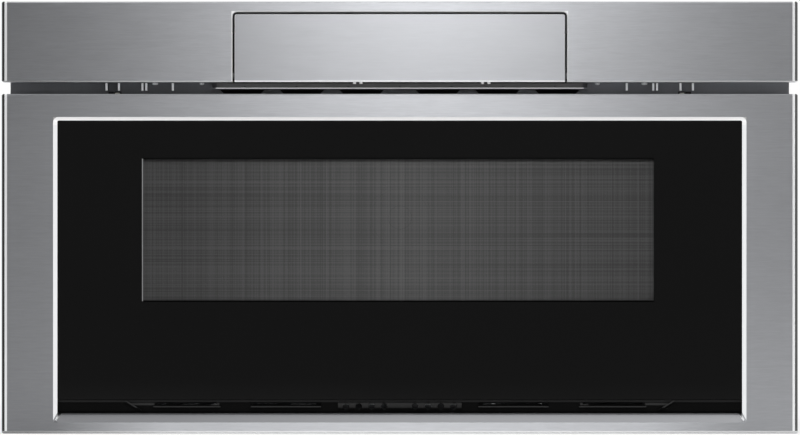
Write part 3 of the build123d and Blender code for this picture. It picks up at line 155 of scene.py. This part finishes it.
def dress(material, *names):
    """Gives CAD nodes this material, and only it."""
    for name in names:
        mesh = nodes[name].data
        mesh.materials.clear()
        mesh.materials.append(material)


def galvanised():
    """Hot-dip zinc: crystals a few millimetres across, each with its own grey and gloss."""
    material, place = finish("galvanised_sheet")
    crystals = place.node("ShaderNodeTexVoronoi", {}, {"Vector": place, "Scale": 140.0}, "Color")
    crystal = crystals.node("ShaderNodeSeparateColor", {}, {0: crystals}, 0)
    streaks = place.stretched(4, 4, 60).noise(3.0, 4.0)
    tone = crystal * 0.6 + streaks * 0.4
    shade(
        place,
        Base_Color=tone.between(grey(0.44, -0.02), grey(0.62, -0.01)),
        Metallic=0.9,
        Roughness=crystal * 0.16 + 0.34,
        Normal=tone.bump(0.15, 0.0001),
    )
    return material


dress(
    galvanised(),
    "base_pan",
    "left_side_panel",
    "right_side_panel",
    "back_panel",
    "top_cover",
    "waveguide",
    "rail_bracket_left",
    "rail_bracket_right",
    "rail_supports",
    "bearing_brackets",
    "fascia_brackets",
)

# ---------------------------------------------------------------------------------------------
# Front frame and the control bay's floor: zinc-plated sheet, duller than the chassis, in the gap
# between the fronts. Its sheared edges are painted bright as highlights, and the tray behind the
# exhaust's apron is painted near black as shade.
# ---------------------------------------------------------------------------------------------
SHEARED_EDGE = 0.0008
LIP_TOP = 0.3155
STEP_FOOT = 0.3159
STEP_DEPTH = 0.0072
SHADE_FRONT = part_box("fascia")[1].y + 0.004


def steel(level):
    """The faintly blue grey of bare steel."""
    return (level * 0.985, level, level * 1.045, 1)


def zinc_plating(place):
    """The plating's colour, with painted shade that darkens it towards the left, and its grain."""
    drift = place.noise(22.0, 3.0)
    grain = place.stretched(300, 40, 60).noise(1.0, 2.0)
    # Painted shade: the X term darkens the plating towards the left.
    tone = drift * 0.6 + grain * 0.4 + place.axis("X") * 1.2
    return tone.between(steel(0.2), steel(0.3)), grain


def plated_frame():
    """The ends of the frame's folded tabs are sheared bare and painted near white as a highlight."""
    material, place = finish("plated_frame")
    colour, grain = zinc_plating(place)
    # Painted highlight: the tab ends are coloured near white and matt.
    tab_ends = place.axis("Y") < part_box("front_frame")[0].y + SHEARED_EDGE
    shade(
        place,
        Base_Color=tab_ends.between(colour, grey(0.95)),
        Metallic=(1 - tab_ends) * 0.85,
        Roughness=grain * 0.15 + 0.36,
        Normal=grain.bump(0.08, 0.00005),
    )
    return material


def plated_tray():
    """The tray's sheared lip and the face that steps up at its back are painted pale as highlights,
    and the part behind is painted near black as shade.
    """
    material, place = finish("plated_tray")
    colour, grain = zinc_plating(place)
    deep, up = place.axis("Y"), place.axis("Z")
    lip = (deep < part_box("control_tray")[0].y + SHEARED_EDGE) * (up < LIP_TOP)
    # Painted shade: behind this depth the tray is coloured near black.
    painted_shade = deep > SHADE_FRONT
    step = (deep > SHADE_FRONT - STEP_DEPTH) * (1 - painted_shade) * (up > STEP_FOOT)
    # Painted highlights: the sheared lip and the step face are coloured pale and matt.
    colour = lip.between(colour, grey(0.42))
    colour = step.between(colour, grey(0.32))
    shade(
        place,
        Base_Color=painted_shade.between(colour, grey(0.006)),
        Metallic=(1 - lip) * (1 - painted_shade) * (1 - step) * 0.85,
        Roughness=grain * 0.15 + 0.36 + painted_shade * 0.4,
        Normal=grain.bump(0.08, 0.00005),
    )
    return material


dress(plated_frame(), "front_frame")
dress(plated_tray(), "control_tray")

# ---------------------------------------------------------------------------------------------
# Door pan: pressed steel sheet with a dark grey powder coat, fine as an orange's skin, screwed to
# the back of the drawer's stainless frame. The control module's hinge pins are blackened too.
# ---------------------------------------------------------------------------------------------


def powder_coat():
    material, place = finish("dark_powder_coat")
    skin = place.noise(1900.0, 1.0)
    drift = place.noise(9.0, 3.0)
    shade(
        place,
        Base_Color=(drift * 0.7 + skin * 0.3).between(grey(0.075, -0.02), grey(0.11, -0.02)),
        Metallic=0.25,
        Roughness=skin * 0.12 + 0.38,
        Normal=skin.bump(0.35, 0.00008),
    )
    return material


dress(powder_coat(), "door_pan", "hinge_pins")

# ---------------------------------------------------------------------------------------------
# Oven box and drawer tub: steel sheet, folded and spot-welded, with a grey oven paint that is
# sprayed on and baked, and faintly speckled.
# ---------------------------------------------------------------------------------------------


def oven_paint():
    material, place = finish("grey_oven_paint")
    fleck = place.node("ShaderNodeTexVoronoi", {}, {"Vector": place, "Scale": 620.0}, "Distance")
    speckle = fleck < 0.16
    cloud = place.noise(14.0, 3.0)
    shade(
        place,
        Base_Color=(speckle * 0.5 + cloud * 0.3).between(grey(0.36, 0.01), grey(0.2)),
        Metallic=0.1,
        Roughness=cloud * 0.1 + 0.33,
        Normal=place.noise(900.0).bump(0.12, 0.00006),
    )
    return material


dress(oven_paint(), "cavity_box", "drawer_tub")

# ---------------------------------------------------------------------------------------------
# Plate on the tub's floor: dark glass-ceramic, rolled flat and cemented into the tub. It is
# smooth on top, with a fine grain inside.
# ---------------------------------------------------------------------------------------------


def glass_ceramic():
    material, place = finish("glass_ceramic_plate")
    grain = place.noise(2400.0, 1.0)
    cloud = place.noise(12.0)
    shade(
        place,
        Base_Color=(grain * 0.6 + cloud * 0.4).between(grey(0.03), grey(0.075)),
        Roughness=cloud * 0.06 + 0.09,
        Coat_Weight=0.5,
    )
    return material


dress(glass_ceramic(), "tub_floor")

# ---------------------------------------------------------------------------------------------
# Magnetron, capacitor can and stirrer: drawn and pressed aluminium, with fine lines from the
# tools. The first two are screwed down, and the stirrer is pressed on its motor's shaft.
# ---------------------------------------------------------------------------------------------


def pressed_aluminium():
    material, place = finish("pressed_aluminium")
    lines = place.stretched(30, 30, 900).noise(1.0, 3.0)
    scuffs = place.noise(45.0, 4.0)
    shade(
        place,
        Base_Color=scuffs.between(grey(0.6, -0.01), grey(0.76, -0.01)),
        Metallic=1.0,
        Roughness=lines * 0.18 + 0.26,
        Normal=lines.bump(0.1, 0.00005),
    )
    return material


dress(pressed_aluminium(), "magnetron", "hv_capacitor", "stirrer_antenna")

# ---------------------------------------------------------------------------------------------
# Motors and transformer core: the motors are closed in plated steel cans, and the core is a
# stack of thin steel sheets, welded along its sides.
# ---------------------------------------------------------------------------------------------


def plated_case():
    material, place = finish("plated_motor_case")
    blotch = place.noise(70.0, 4.0)
    shade(
        place,
        Base_Color=blotch.between(grey(0.42, 0.03), grey(0.56, 0.01)),
        Metallic=0.95,
        Roughness=blotch * 0.2 + 0.28,
        Normal=blotch.bump(0.06, 0.0001),
    )
    return material


LAMINATION = 0.0006


def laminated_core():
    material, place = finish("laminated_core")
    joints = (place.axis("Y") % LAMINATION) > LAMINATION * 0.75
    rust = place.noise(60.0, 5.0)
    shade(
        place,
        Base_Color=rust.between(grey(0.16, 0.03), grey(0.26, 0.06)),
        Metallic=0.8,
        Roughness=rust * 0.2 + 0.42,
        Normal=(1 - joints).bump(0.5, 0.0001),
    )
    return material


dress(plated_case(), "fan_motor", "stirrer_motor", "drive_motor", "flap_motor")
dress(laminated_core(), "transformer_core")

# ---------------------------------------------------------------------------------------------
# Transformer coils: enamelled copper wire, wound in close layers on the core's middle leg and
# dipped in varnish to a brown gloss.
# ---------------------------------------------------------------------------------------------
WIRE = 0.0008


def copper_winding():
    material, place = finish("enamelled_copper")
    turn = (place.axis("Z") % WIRE) / WIRE
    crown = 1 - abs(turn * 2 - 1)
    varnish = place.noise(40.0, 3.0)
    shade(
        place,
        Base_Color=varnish.between((0.36, 0.13, 0.045, 1), (0.56, 0.25, 0.09, 1)),
        Metallic=0.85,
        Roughness=varnish * 0.15 + 0.24,
        Normal=crown.bump(0.8, 0.0003),
    )
    return material


dress(copper_winding(), "transformer_coils")

# ---------------------------------------------------------------------------------------------
# Circuit boards: green solder-masked laminate over copper tracks. The parts that stand on the
# power board are moulded in black and grey, and those of the display board are lacquered over.
# ---------------------------------------------------------------------------------------------
POWER_BOARD_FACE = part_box("power_board")[0].x + 0.0112
BEYOND_ALL = 1.0


def solder_mask(name, board_face):
    """Green on the board itself, and black and grey on the parts beyond its face."""
    material, place = finish(name)
    whole = place.node("ShaderNodeTexCoord", {}, {}, "Generated")
    lines = {"feature": "DISTANCE_TO_EDGE"}
    apart = whole.node("ShaderNodeTexVoronoi", lines, {"Vector": whole, "Scale": 90.0}, "Distance")
    track = apart < 0.07
    board = track.between((0.008, 0.09, 0.04, 1), (0.02, 0.17, 0.07, 1))
    case = place.noise(30.0).between(grey(0.03), grey(0.09))
    raised = place.axis("X") > board_face
    shade(
        place,
        Base_Color=raised.between(board, case),
        Roughness=raised * 0.25 + 0.22,
        Normal=track.bump(0.3, 0.00005),
    )
    return material


dress(solder_mask("power_board_mask", POWER_BOARD_FACE), "power_board")
dress(solder_mask("display_board_mask", BEYOND_ALL), "display_board")

# ---------------------------------------------------------------------------------------------
# Slides, shafts and small fasteners: rolled and turned steel with bright zinc plating. The
# screws that show under the fronts have blasted, matt heads, painted near white as a highlight.
# ---------------------------------------------------------------------------------------------


def bright_zinc():
    material, place = finish("bright_zinc_plate")
    rub = place.stretched(200, 6, 200).noise(2.0, 4.0)
    tint = place.noise(20.0)
    shade(
        place,
        Base_Color=tint.between((0.6, 0.62, 0.65, 1), (0.7, 0.7, 0.66, 1)),
        Metallic=1.0,
        Roughness=rub * 0.2 + 0.2,
        Normal=rub.bump(0.08, 0.00006),
    )
    return material


dress(
    bright_zinc(),
    "slide_outer_left",
    "slide_outer_right",
    "slide_middle_left",
    "slide_middle_right",
    "slide_inner_left",
    "slide_inner_right",
    "drive_shaft",
    "motor_pinion",
    "door_screws",
    "chassis_screws",
)


def screw_heads_painted_bright():
    """Blasted and matt, and painted near white as a highlight, so that the small heads stay bright
    in the shadow of the fronts.
    """
    material, place = finish("zinc_heads_painted_bright")
    blast = place.noise(900.0, 2.0)
    # Painted highlight: the heads are coloured near white.
    shade(
        place,
        Base_Color=blast.between(grey(0.8), grey(0.98)),
        Roughness=blast * 0.2 + 0.25,
        Normal=blast.bump(0.3, 0.0001),
    )
    return material


dress(screw_heads_painted_bright(), "fascia_screws", "flap_screws")

# ---------------------------------------------------------------------------------------------
# Racks, gears, latch hooks and lamp holder: moulded in natural acetal, slightly waxy and
# off-white. The racks lie along the drawer's rails, and the gears are pressed on their shafts.
# ---------------------------------------------------------------------------------------------


def acetal():
    material, place = finish("natural_acetal")
    flow = place.noise(35.0, 3.0)
    shade(
        place,
        Base_Color=flow.between((0.66, 0.65, 0.6, 1), (0.76, 0.75, 0.71, 1)),
        Roughness=flow * 0.12 + 0.36,
        Subsurface_Weight=0.1,
        Subsurface_Radius=(0.002, 0.002, 0.0015),
        Normal=place.noise(1300.0, 1.0).bump(0.08, 0.00005),
    )
    return material


dress(acetal(), "drive_racks", "shaft_pinions", "drive_gear", "latch_hooks", "oven_lamp")

# ---------------------------------------------------------------------------------------------
# Black mouldings: choke cover, fan, grommet, switch and control housings, in plastic with the fine
# spark-eroded grain of their moulds. The bumpers are moulded in black rubber.
# ---------------------------------------------------------------------------------------------


def moulded_black(name, dark, light, roughness):
    material, place = finish(name)
    grain = place.noise(1500.0, 2.0)
    wipe = place.noise(18.0, 3.0)
    shade(
        place,
        Base_Color=wipe.between(grey(dark), grey(light)),
        Roughness=grain * 0.12 + roughness,
        Normal=grain.bump(0.25, 0.00006),
    )
    return material


dress(
    moulded_black("black_moulding", dark=0.012, light=0.022, roughness=0.42),
    "choke_cover",
    "power_inlet",
    "fan_shroud",
    "fan_impeller",
    "interlock_switches",
    "control_housing",
)
dress(moulded_black("bumper_rubber", dark=0.018, light=0.03, roughness=0.62), "bumpers")

# ---------------------------------------------------------------------------------------------
# Vent under the glass: a deep black moulding that lies on the frame's ledge and runs back to the
# pan, with slots and a block of small holes. Its brow, lips and shoulders get painted highlights.
# ---------------------------------------------------------------------------------------------
BROW_FOOT = 0.0157
SHOULDER_FOOT, SHOULDER_TOP = 0.0128, 0.0152
SHOULDERS = ((0.0, 0.059), (0.172, 0.18), (0.234, 0.256))
LIP_FOOT = 0.0105
LIP_DEPTH = 0.0012
SLOT_DEPTH = 0.0052
MIDDLE_BLOCK = 0.062
BLOCK_FOOT, BLOCK_TOP = 0.0095, 0.0138


def vent_moulding():
    """The middle block's painted highlight fades downwards into painted shade, and the slots are dull
    inside.
    """
    material, place = finish("vent_moulding")
    grain = place.noise(1500.0, 2.0)
    wipe = place.noise(18.0, 3.0)
    across, up = abs(place.axis("X")), place.axis("Z")
    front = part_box("lower_vent")[0].y
    beside = sum((across > inner) * (across < outer) for inner, outer in SHOULDERS)
    shoulders = beside * (up > SHOULDER_FOOT) * (up < SHOULDER_TOP)
    lips = (place.axis("Y") < front + LIP_DEPTH) * (up > LIP_FOOT)
    # Painted shade: the middle block's highlight fades out downwards.
    shaded_downwards = (across < MIDDLE_BLOCK) * up.ramp((BLOCK_FOOT, 0.75), (BLOCK_TOP, 0.0))
    # Painted highlights: the brow, lips and shoulders are coloured paler.
    painted_highlight = (lips + shoulders + (up > BROW_FOOT) > 0.5) * (1 - shaded_downwards)
    inside = place.axis("Y") > front + SLOT_DEPTH
    shade(
        place,
        Base_Color=painted_highlight.between(wipe.between(grey(0.0015), grey(0.003)), grey(0.03)),
        Roughness=grain * 0.12 + 0.34 + inside * 0.5,
        Specular_IOR_Level=0.05,
        Normal=grain.bump(0.25, 0.00006),
    )
    return material


dress(vent_moulding(), "lower_vent")

# ---------------------------------------------------------------------------------------------
# Fascia, flap skin and drawer frame: stainless sheet brushed from side to side, folded round its
# edges. The flap's skin has a finer, lighter brush.
# ---------------------------------------------------------------------------------------------
FASCIA_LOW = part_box("fascia")[0]
FRAME_LOW, FRAME_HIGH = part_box("drawer_frame")
HALF_FRONT = FRAME_HIGH.x
FACE_DEPTH = 0.0032
TURN_WIDTH = 0.0029
CREST_INSET = 0.0052


def brushed(place, tone, roughness, contrast):
    """Base colour, roughness and normal of a sheet brushed along X, with marks of two lengths."""
    fine = place.stretched(90, 900, 1400).noise(1.0, 3.0)
    long = place.stretched(26, 60, 500).noise(1.0, 3.0)
    streak = fine * 0.6 + long * 0.4
    return (
        streak.between(steel(tone * (1 - contrast)), steel(tone * (1 + contrast))),
        streak * 0.05 + roughness,
        streak.bump(contrast * 0.3, 0.00004),
    )


def folds(place, edge_top):
    """Masks of a front's folds, all on its face: the turn along its upright edges, where shade is
    painted, the crest beside that, where a highlight is painted, and the lower edge.
    """
    face = place.axis("Y") < FASCIA_LOW.y + FACE_DEPTH
    inset = HALF_FRONT - abs(place.axis("X"))
    turn = face * (inset < TURN_WIDTH)
    crest = face * (inset < CREST_INSET) * (1 - turn)
    return turn, crest, face * (place.axis("Z") < edge_top)


def turn_tone(place):
    """Painted shade for the turn, darker on the left."""
    return (place.axis("X") > 0.0).between(grey(0.04), grey(0.1))


def lower_edge_tone(place):
    """Painted highlight on the lower edge, fading to painted shade at its ends, most on the left."""
    across = place.axis("X")
    ends = abs(across).ramp((0.2, 0.0), (0.35, 1.0))
    return (ends * (0.4 - across * 0.6)).between(grey(0.8, -0.01), grey(0.0))


def stainless(place, colour, rough, metallic, normal):
    """The brush marks spread its gloss up and down."""
    shade(
        place,
        Base_Color=colour,
        Metallic=metallic,
        Roughness=rough,
        Anisotropic=0.75,
        Anisotropic_Rotation=0.25,
        Normal=normal,
    )


FASCIA_EDGE = 0.0011
RIM_HALF, RIM_TOP, RIM_DEPTH = 0.1605, 0.3887, 0.001


def fascia_stainless():
    """A rim is pressed round the opening for the flap and painted pale as a highlight."""
    material, place = finish("fascia_stainless")
    colour, rough, normal = brushed(place, tone=0.625, roughness=0.275, contrast=0.14)
    turn, crest, lower_edge = folds(place, FASCIA_LOW.z + FASCIA_EDGE)
    beside = (abs(place.axis("X")) < RIM_HALF) * (place.axis("Z") < RIM_TOP)
    rim = beside * (place.axis("Y") < FASCIA_LOW.y + RIM_DEPTH)
    # Painted shade on the turn, painted highlights on the crest, the rim and the lower edge.
    colour = turn.between(colour, turn_tone(place))
    colour = (crest + rim > 0.5).between(colour, grey(0.86, -0.01))
    colour = lower_edge.between(colour, lower_edge_tone(place))
    stainless(place, colour, rough, 1 - ((crest + rim) * 0.6 + lower_edge * 0.2), normal)
    return material


dress(fascia_stainless(), "fascia")

CUT_EDGE = 0.0006
FLAP_FOOT = 0.0014


def flap_stainless():
    """Its cut edges are painted dark as shade beside the fascia's rim, and its folded foot is painted
    bright as a highlight.
    """
    material, place = finish("flap_stainless")
    colour, rough, normal = brushed(place, tone=0.64, roughness=0.265, contrast=0.06)
    low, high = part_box("flap_skin")
    cut = (abs(place.axis("X")) > high.x - CUT_EDGE) + (place.axis("Z") > high.z - CUT_EDGE) > 0.5
    foot = place.axis("Z") < low.z + FLAP_FOOT
    # Painted highlight on the folded foot, and painted shade on the cut edges.
    colour = foot.between(colour, grey(0.9, -0.01))
    stainless(place, cut.between(colour, grey(0.06)), rough, 1 - foot * 0.6, normal)
    return material


dress(flap_stainless(), "flap_skin")

FRAME_EDGE = 0.0024
RECESS_HALF, RECESS_LOW, RECESS_HIGH = 0.3304, -0.0035, 0.2876
BEVEL_WIDTH = 0.0042
BEVEL_TOP_FROM = 0.28
LEDGE_TOP = 0.0051
SLANT_LEAN = 0.55
SLANT_END = -0.0012
SLIVER_FROM, SLIVER_TO = 0.0004, 0.0026
SLIVER_FOOT, SLIVER_TOP = 0.0043, 0.009
SLANT_TOP = 0.02
SHADE_HEIGHT = 0.27


def drawer_stainless():
    """As the fascia, but the bevel round the glass is painted near white as a highlight, and white
    along its top. At its foot the bevel ends in a slant, with a sliver of the mitre beside it painted
    bright as a highlight, and a duller ledge between, painted darker towards the left as shade.
    """
    material, place = finish("drawer_stainless")
    colour, rough, normal = brushed(place, tone=0.665, roughness=0.275, contrast=0.14)
    across, up = place.axis("X"), place.axis("Z")
    # Painted shade: the sheet is darker towards the foot of its ends, most on the left.
    near_foot = place.maths("MAXIMUM", 1 - (up - FRAME_LOW.z) / SHADE_HEIGHT, 0.0)
    ends = abs(across).ramp((0.23, 0.0), (0.33, 1.0))
    colour = (near_foot * ends * (0.48 - across * 0.28)).between(colour, steel(0.0))
    turn, crest, lower_edge = folds(place, FRAME_LOW.z + FRAME_EDGE)

    inward, above = RECESS_HALF - abs(across), up - RECESS_LOW
    recess = (inward > 0.0) * (above > 0.0) * (up < RECESS_HIGH)
    slant = inward - above * SLANT_LEAN
    sliver = (slant > SLIVER_FROM) * (slant < SLIVER_TO)
    sliver = sliver * (inward + above > SLIVER_FOOT) * (above < SLIVER_TOP)
    bevel = recess * (sliver + (slant < SLANT_END) + (above > SLANT_TOP) > 0.5)
    ledge = recess * (1 - bevel) * (up < LEDGE_TOP) * (inward > BEVEL_WIDTH)

    # Painted shade on the turn, painted highlights on the crest, the bevel, its sliver and the lower
    # edge.
    colour = turn.between(colour, turn_tone(place))
    colour = (crest + bevel > 0.5).between(colour, grey(0.93, -0.01))
    colour = (bevel * (up > BEVEL_TOP_FROM)).between(colour, grey(1.0))
    colour = lower_edge.between(colour, lower_edge_tone(place))
    # Painted shade: the ledge is darker towards the left.
    colour = ledge.between(colour, (across * 1.5 + 0.5).between(steel(0.2), steel(0.33)))
    rough = rough + near_foot * 0.018 + ledge * 0.25
    matt = (crest + lower_edge > 0.5) * 0.6 + ledge * 0.95
    stainless(place, colour, rough, 1 - matt, normal)
    return material


dress(drawer_stainless(), "drawer_frame")

# ---------------------------------------------------------------------------------------------
# Door glass: tempered glass, held behind the frame's bevel and printed black on its back, but for
# the window, where it is clear. Touch glass: the same on the control module's long face, with its
# keys printed in pale lines.
# ---------------------------------------------------------------------------------------------
WINDOW_LEFT, WINDOW_RIGHT = -0.2457, 0.2423
WINDOW_LOW, WINDOW_HIGH = 0.112, 0.248
GLASS_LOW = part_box("door_glass")[0]
PRINT_END = 0.0009
RIM_ABOVE, RIM_BELOW = 0.0005, 0.0007


def printed_glass():
    """A pale line shows where the print stops at the window's left, and a dark rim lies above and
    below the window.
    """
    material, place = finish("printed_glass")
    across, up = place.axis("X"), place.axis("Z")
    between_sides = (across > WINDOW_LEFT) * (across < WINDOW_RIGHT)
    window = between_sides * (up > WINDOW_LOW) * (up < WINDOW_HIGH)
    print_end = window * (across < WINDOW_LEFT + PRINT_END)
    rim = between_sides * ((abs(up - WINDOW_HIGH) < RIM_ABOVE) + (abs(up - WINDOW_LOW) < RIM_BELOW))
    haze = place.noise(7.0, 3.0)
    # Painted reflection: the black print is paler towards the glass's foot.
    near_foot = 1 - (up - GLASS_LOW.z) / (WINDOW_LOW - GLASS_LOW.z)
    print_and_painted_reflection = near_foot.ramp((0.0, 0.005), (0.8, 0.006), (1.0, 0.01))
    colour = rim.between(haze.between(print_and_painted_reflection, grey(0.006)), grey(0.0))
    shade(
        place,
        Base_Color=print_end.between(colour, grey(0.24)),
        Roughness=haze * 0.03 + 0.02,
        Alpha=1 - window * (1 - print_end) * (1 - rim) * 0.92,
    )
    return material


dress(printed_glass(), "door_glass")

KEYS_FROM, KEYS_TO = 0.051, 0.129
KEY_PITCH = 0.026
KEY_ROWS = 3
DISPLAY_HALF = 0.041
# Shares of a key's cell.
ROW_MARGIN = 0.2
OUTLINE_FROM, OUTLINE_TO = 0.37, 0.4
MARK_HALF_WIDTH, MARK_HALF_HEIGHT = 0.14, 0.03


def touch_print():
    """Three rows of keys on each side of a display, as thin outlines with a mark inside each."""
    material, place = finish("touch_glass_print")
    low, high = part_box("touch_glass")
    side = abs(place.axis("X"))
    row = (high.z - low.z) / (KEY_ROWS + 2 * ROW_MARGIN)
    up = (place.axis("Z") - low.z) / row - ROW_MARGIN
    across = ((side - KEYS_FROM) % KEY_PITCH) / KEY_PITCH - 0.5
    down = (up % 1.0) - 0.5
    cell = place.maths("MAXIMUM", abs(across), abs(down))
    outline = (cell > OUTLINE_FROM) * (cell < OUTLINE_TO)
    mark = (abs(across) < MARK_HALF_WIDTH) * (abs(down) < MARK_HALF_HEIGHT)
    keyed = (side > KEYS_FROM) * (side < KEYS_TO) * (up > 0.0) * (up < KEY_ROWS)
    display = (side < DISPLAY_HALF) * (abs(up - KEY_ROWS / 2) < 1.0)
    colour = ((outline + mark) * keyed).between(grey(0.006), grey(0.4))
    shade(
        place,
        Base_Color=display.between(colour, (0.012, 0.017, 0.022, 1)),
        Roughness=place.noise(9.0) * 0.03 + 0.03,
    )
    return material


dress(touch_print(), "touch_glass")

# ---------------------------------------------------------------------------------------------
# Window screen: thin grey steel sheet, etched with rows of fine holes and clamped behind the
# glass. From a step away the rows blur into a plaid of darker and lighter threads.
# ---------------------------------------------------------------------------------------------
FADE_REACH = 0.24


def perforated_screen():
    """Painted highlight: it is brighter in its middle."""
    material, place = finish("perforated_screen")
    rows = place.stretched(1.5, 1, 900).noise(1.0, 3.0)
    columns = place.stretched(900, 1, 1.5).noise(1.0, 3.0)
    weave = rows * 0.5 + columns * 0.5
    threads = weave.ramp((0.4, 0.0), (0.6, 1.0))
    # Painted highlight: the colours are paler towards the middle.
    middle = abs(place.axis("X")).ramp((0.0, 1.0), (FADE_REACH, 0.3))
    dark = threads.between(grey(0.045), grey(0.075))
    shade(
        place,
        Base_Color=middle.between(dark, threads.between(grey(0.092), grey(0.14))),
        Metallic=0.8,
        Roughness=weave * 0.2 + 0.3,
        Anisotropic=0.5,
        Anisotropic_Rotation=0.25,
        Normal=weave.bump(0.1, 0.00008),
    )
    return material


dress(perforated_screen(), "window_screen")

# ---------------------------------------------------------------------------------------------
# Studio: a pale floor just under the drawer front, a white backdrop behind and at the sides of a
# dim room, in which such fronts are photographed, and soft lamps.
# ---------------------------------------------------------------------------------------------
scene = bpy.context.scene
scene.view_settings.view_transform = "Standard"

FLOOR_GAP = 0.0004
FLOOR_HALF = 0.95


def seen(start):
    """1 for rays from the camera, off gloss and through glass, and 0 for light on the object."""
    rays = ("Is Camera Ray", "Is Glossy Ray", "Is Transmission Ray")
    straight, off_gloss, through = (start.node("ShaderNodeLightPath", {}, {}, ray) for ray in rays)
    return start.maths("MAXIMUM", start.maths("MAXIMUM", straight, off_gloss), through)


def pale_floor():
    """Part of its white is its own, so the open floor is white and the shadow stays soft."""
    material, place = finish("pale_floor")
    dust = place.noise(3.0)
    shade(
        place,
        Base_Color=dust.between(grey(0.5), grey(0.53)),
        Roughness=0.9,
        Specular_IOR_Level=0.0,
        Emission_Color=seen(place).between(grey(0.0), grey(0.56)),
        Emission_Strength=1.0,
    )
    return material


floor_mesh = bpy.data.meshes.new("studio_floor")
floor_z = cad_box[0].z - FLOOR_GAP
corners = [(x * FLOOR_HALF, y * FLOOR_HALF, floor_z) for x, y in ((-1, -1), (1, -1), (1, 1), (-1, 1))]
floor_mesh.from_pydata(corners, [], [(0, 1, 2, 3)])
floor_mesh.materials.append(pale_floor())
floor = bpy.data.objects.new("studio_floor", floor_mesh)
scene.collection.objects.link(floor)

world = bpy.data.worlds.new("studio_world")
scene.world = world
world.use_nodes = True
world.node_tree.nodes.clear()
# The room is dim in front of the fronts, and bright behind them and at both sides. The camera
# sees white everywhere, and so do gloss and glass that look behind the object.
ROOM_DEPTH = ((0.0, 0.05), (0.14, 0.08), (0.34, 0.5), (0.5, 0.85), (0.7, 1.0))
ROOM_SIDES = ((0.36, 0.0), (0.62, 0.95))
sky = Socket(world.node_tree)
heading = sky.node("ShaderNodeTexCoord", {}, {}, "Generated")
behind = (heading.axis("Y") + 1) / 2
room = sky.maths("MAXIMUM", behind.ramp(*ROOM_DEPTH), abs(heading.axis("X")).ramp(*ROOM_SIDES))
straight = sky.node("ShaderNodeLightPath", {}, {}, "Is Camera Ray")
backdrop = sky.maths("MAXIMUM", straight, seen(sky) * (heading.axis("Y") > 0.0))
white_or_room = backdrop.between(room, grey(1.0))
light = sky.node("ShaderNodeBackground", {}, {"Color": white_or_room, "Strength": 1.0})
sky.node("ShaderNodeOutputWorld", {}, {"Surface": light})

FRONT_Y = cad_box[0].y
MIDDLE = Vector((0.0, FRONT_Y, 0.2))
LAMPS_Y = FRONT_Y - 1.45
FAR_LAMP_Y = FRONT_Y - 3.0


def soft_lamp(name, place, width, height, power):
    """A softbox that looks at the middle of the fronts, and that the camera doesn't see."""
    lamp = bpy.data.lights.new(name, "AREA")
    lamp.shape = "RECTANGLE"
    lamp.size = width
    lamp.size_y = height
    lamp.energy = power
    holder = bpy.data.objects.new(name, lamp)
    scene.collection.objects.link(holder)
    holder.location = place
    holder.rotation_euler = (MIDDLE - Vector(place)).to_track_quat("-Z", "Y").to_euler()
    holder.visible_camera = False
    return holder


soft_lamp("key_softbox", (0.03, LAMPS_Y, 1.35), width=0.25, height=0.5, power=16.5)
soft_lamp("right_fill", (0.85, LAMPS_Y, 1.2), width=0.4, height=0.6, power=4.0)
# Far in front at the fronts' height, this one reaches into the gap; no gloss shows it.
gap_fill = soft_lamp("gap_fill", (0.0, FAR_LAMP_Y, 0.33), width=0.5, height=0.5, power=16.0)
gap_fill.visible_glossy = False

# ---------------------------------------------------------------------------------------------
# Camera: square to the front, far off with a long lens, so that depth hardly shows. The frame is
# 800 pixels wide at 0.953 mm a pixel.
# ---------------------------------------------------------------------------------------------
PIXEL = 0.000953
PHOTO_WIDTH = 800
PHOTO_HEIGHT = 435
CENTRE_PIXEL_X = 399.75
LOWEST_PIXEL_Y = 433.5
DISTANCE = 8.0

camera_data = bpy.data.cameras.new("front_camera")
camera = bpy.data.objects.new("front_camera", camera_data)
scene.collection.objects.link(camera)
scene.camera = camera
camera_data.sensor_width = 36.0
camera_data.lens = camera_data.sensor_width * DISTANCE / (PHOTO_WIDTH * PIXEL)
camera_data.clip_start = 0.1
camera_data.clip_end = 200.0
camera.location = (
    (PHOTO_WIDTH / 2 - CENTRE_PIXEL_X) * PIXEL,
    FRONT_Y - DISTANCE,
    cad_box[0].z + (LOWEST_PIXEL_Y - PHOTO_HEIGHT / 2) * PIXEL,
)
camera.rotation_euler = (pi / 2, 0, 0)
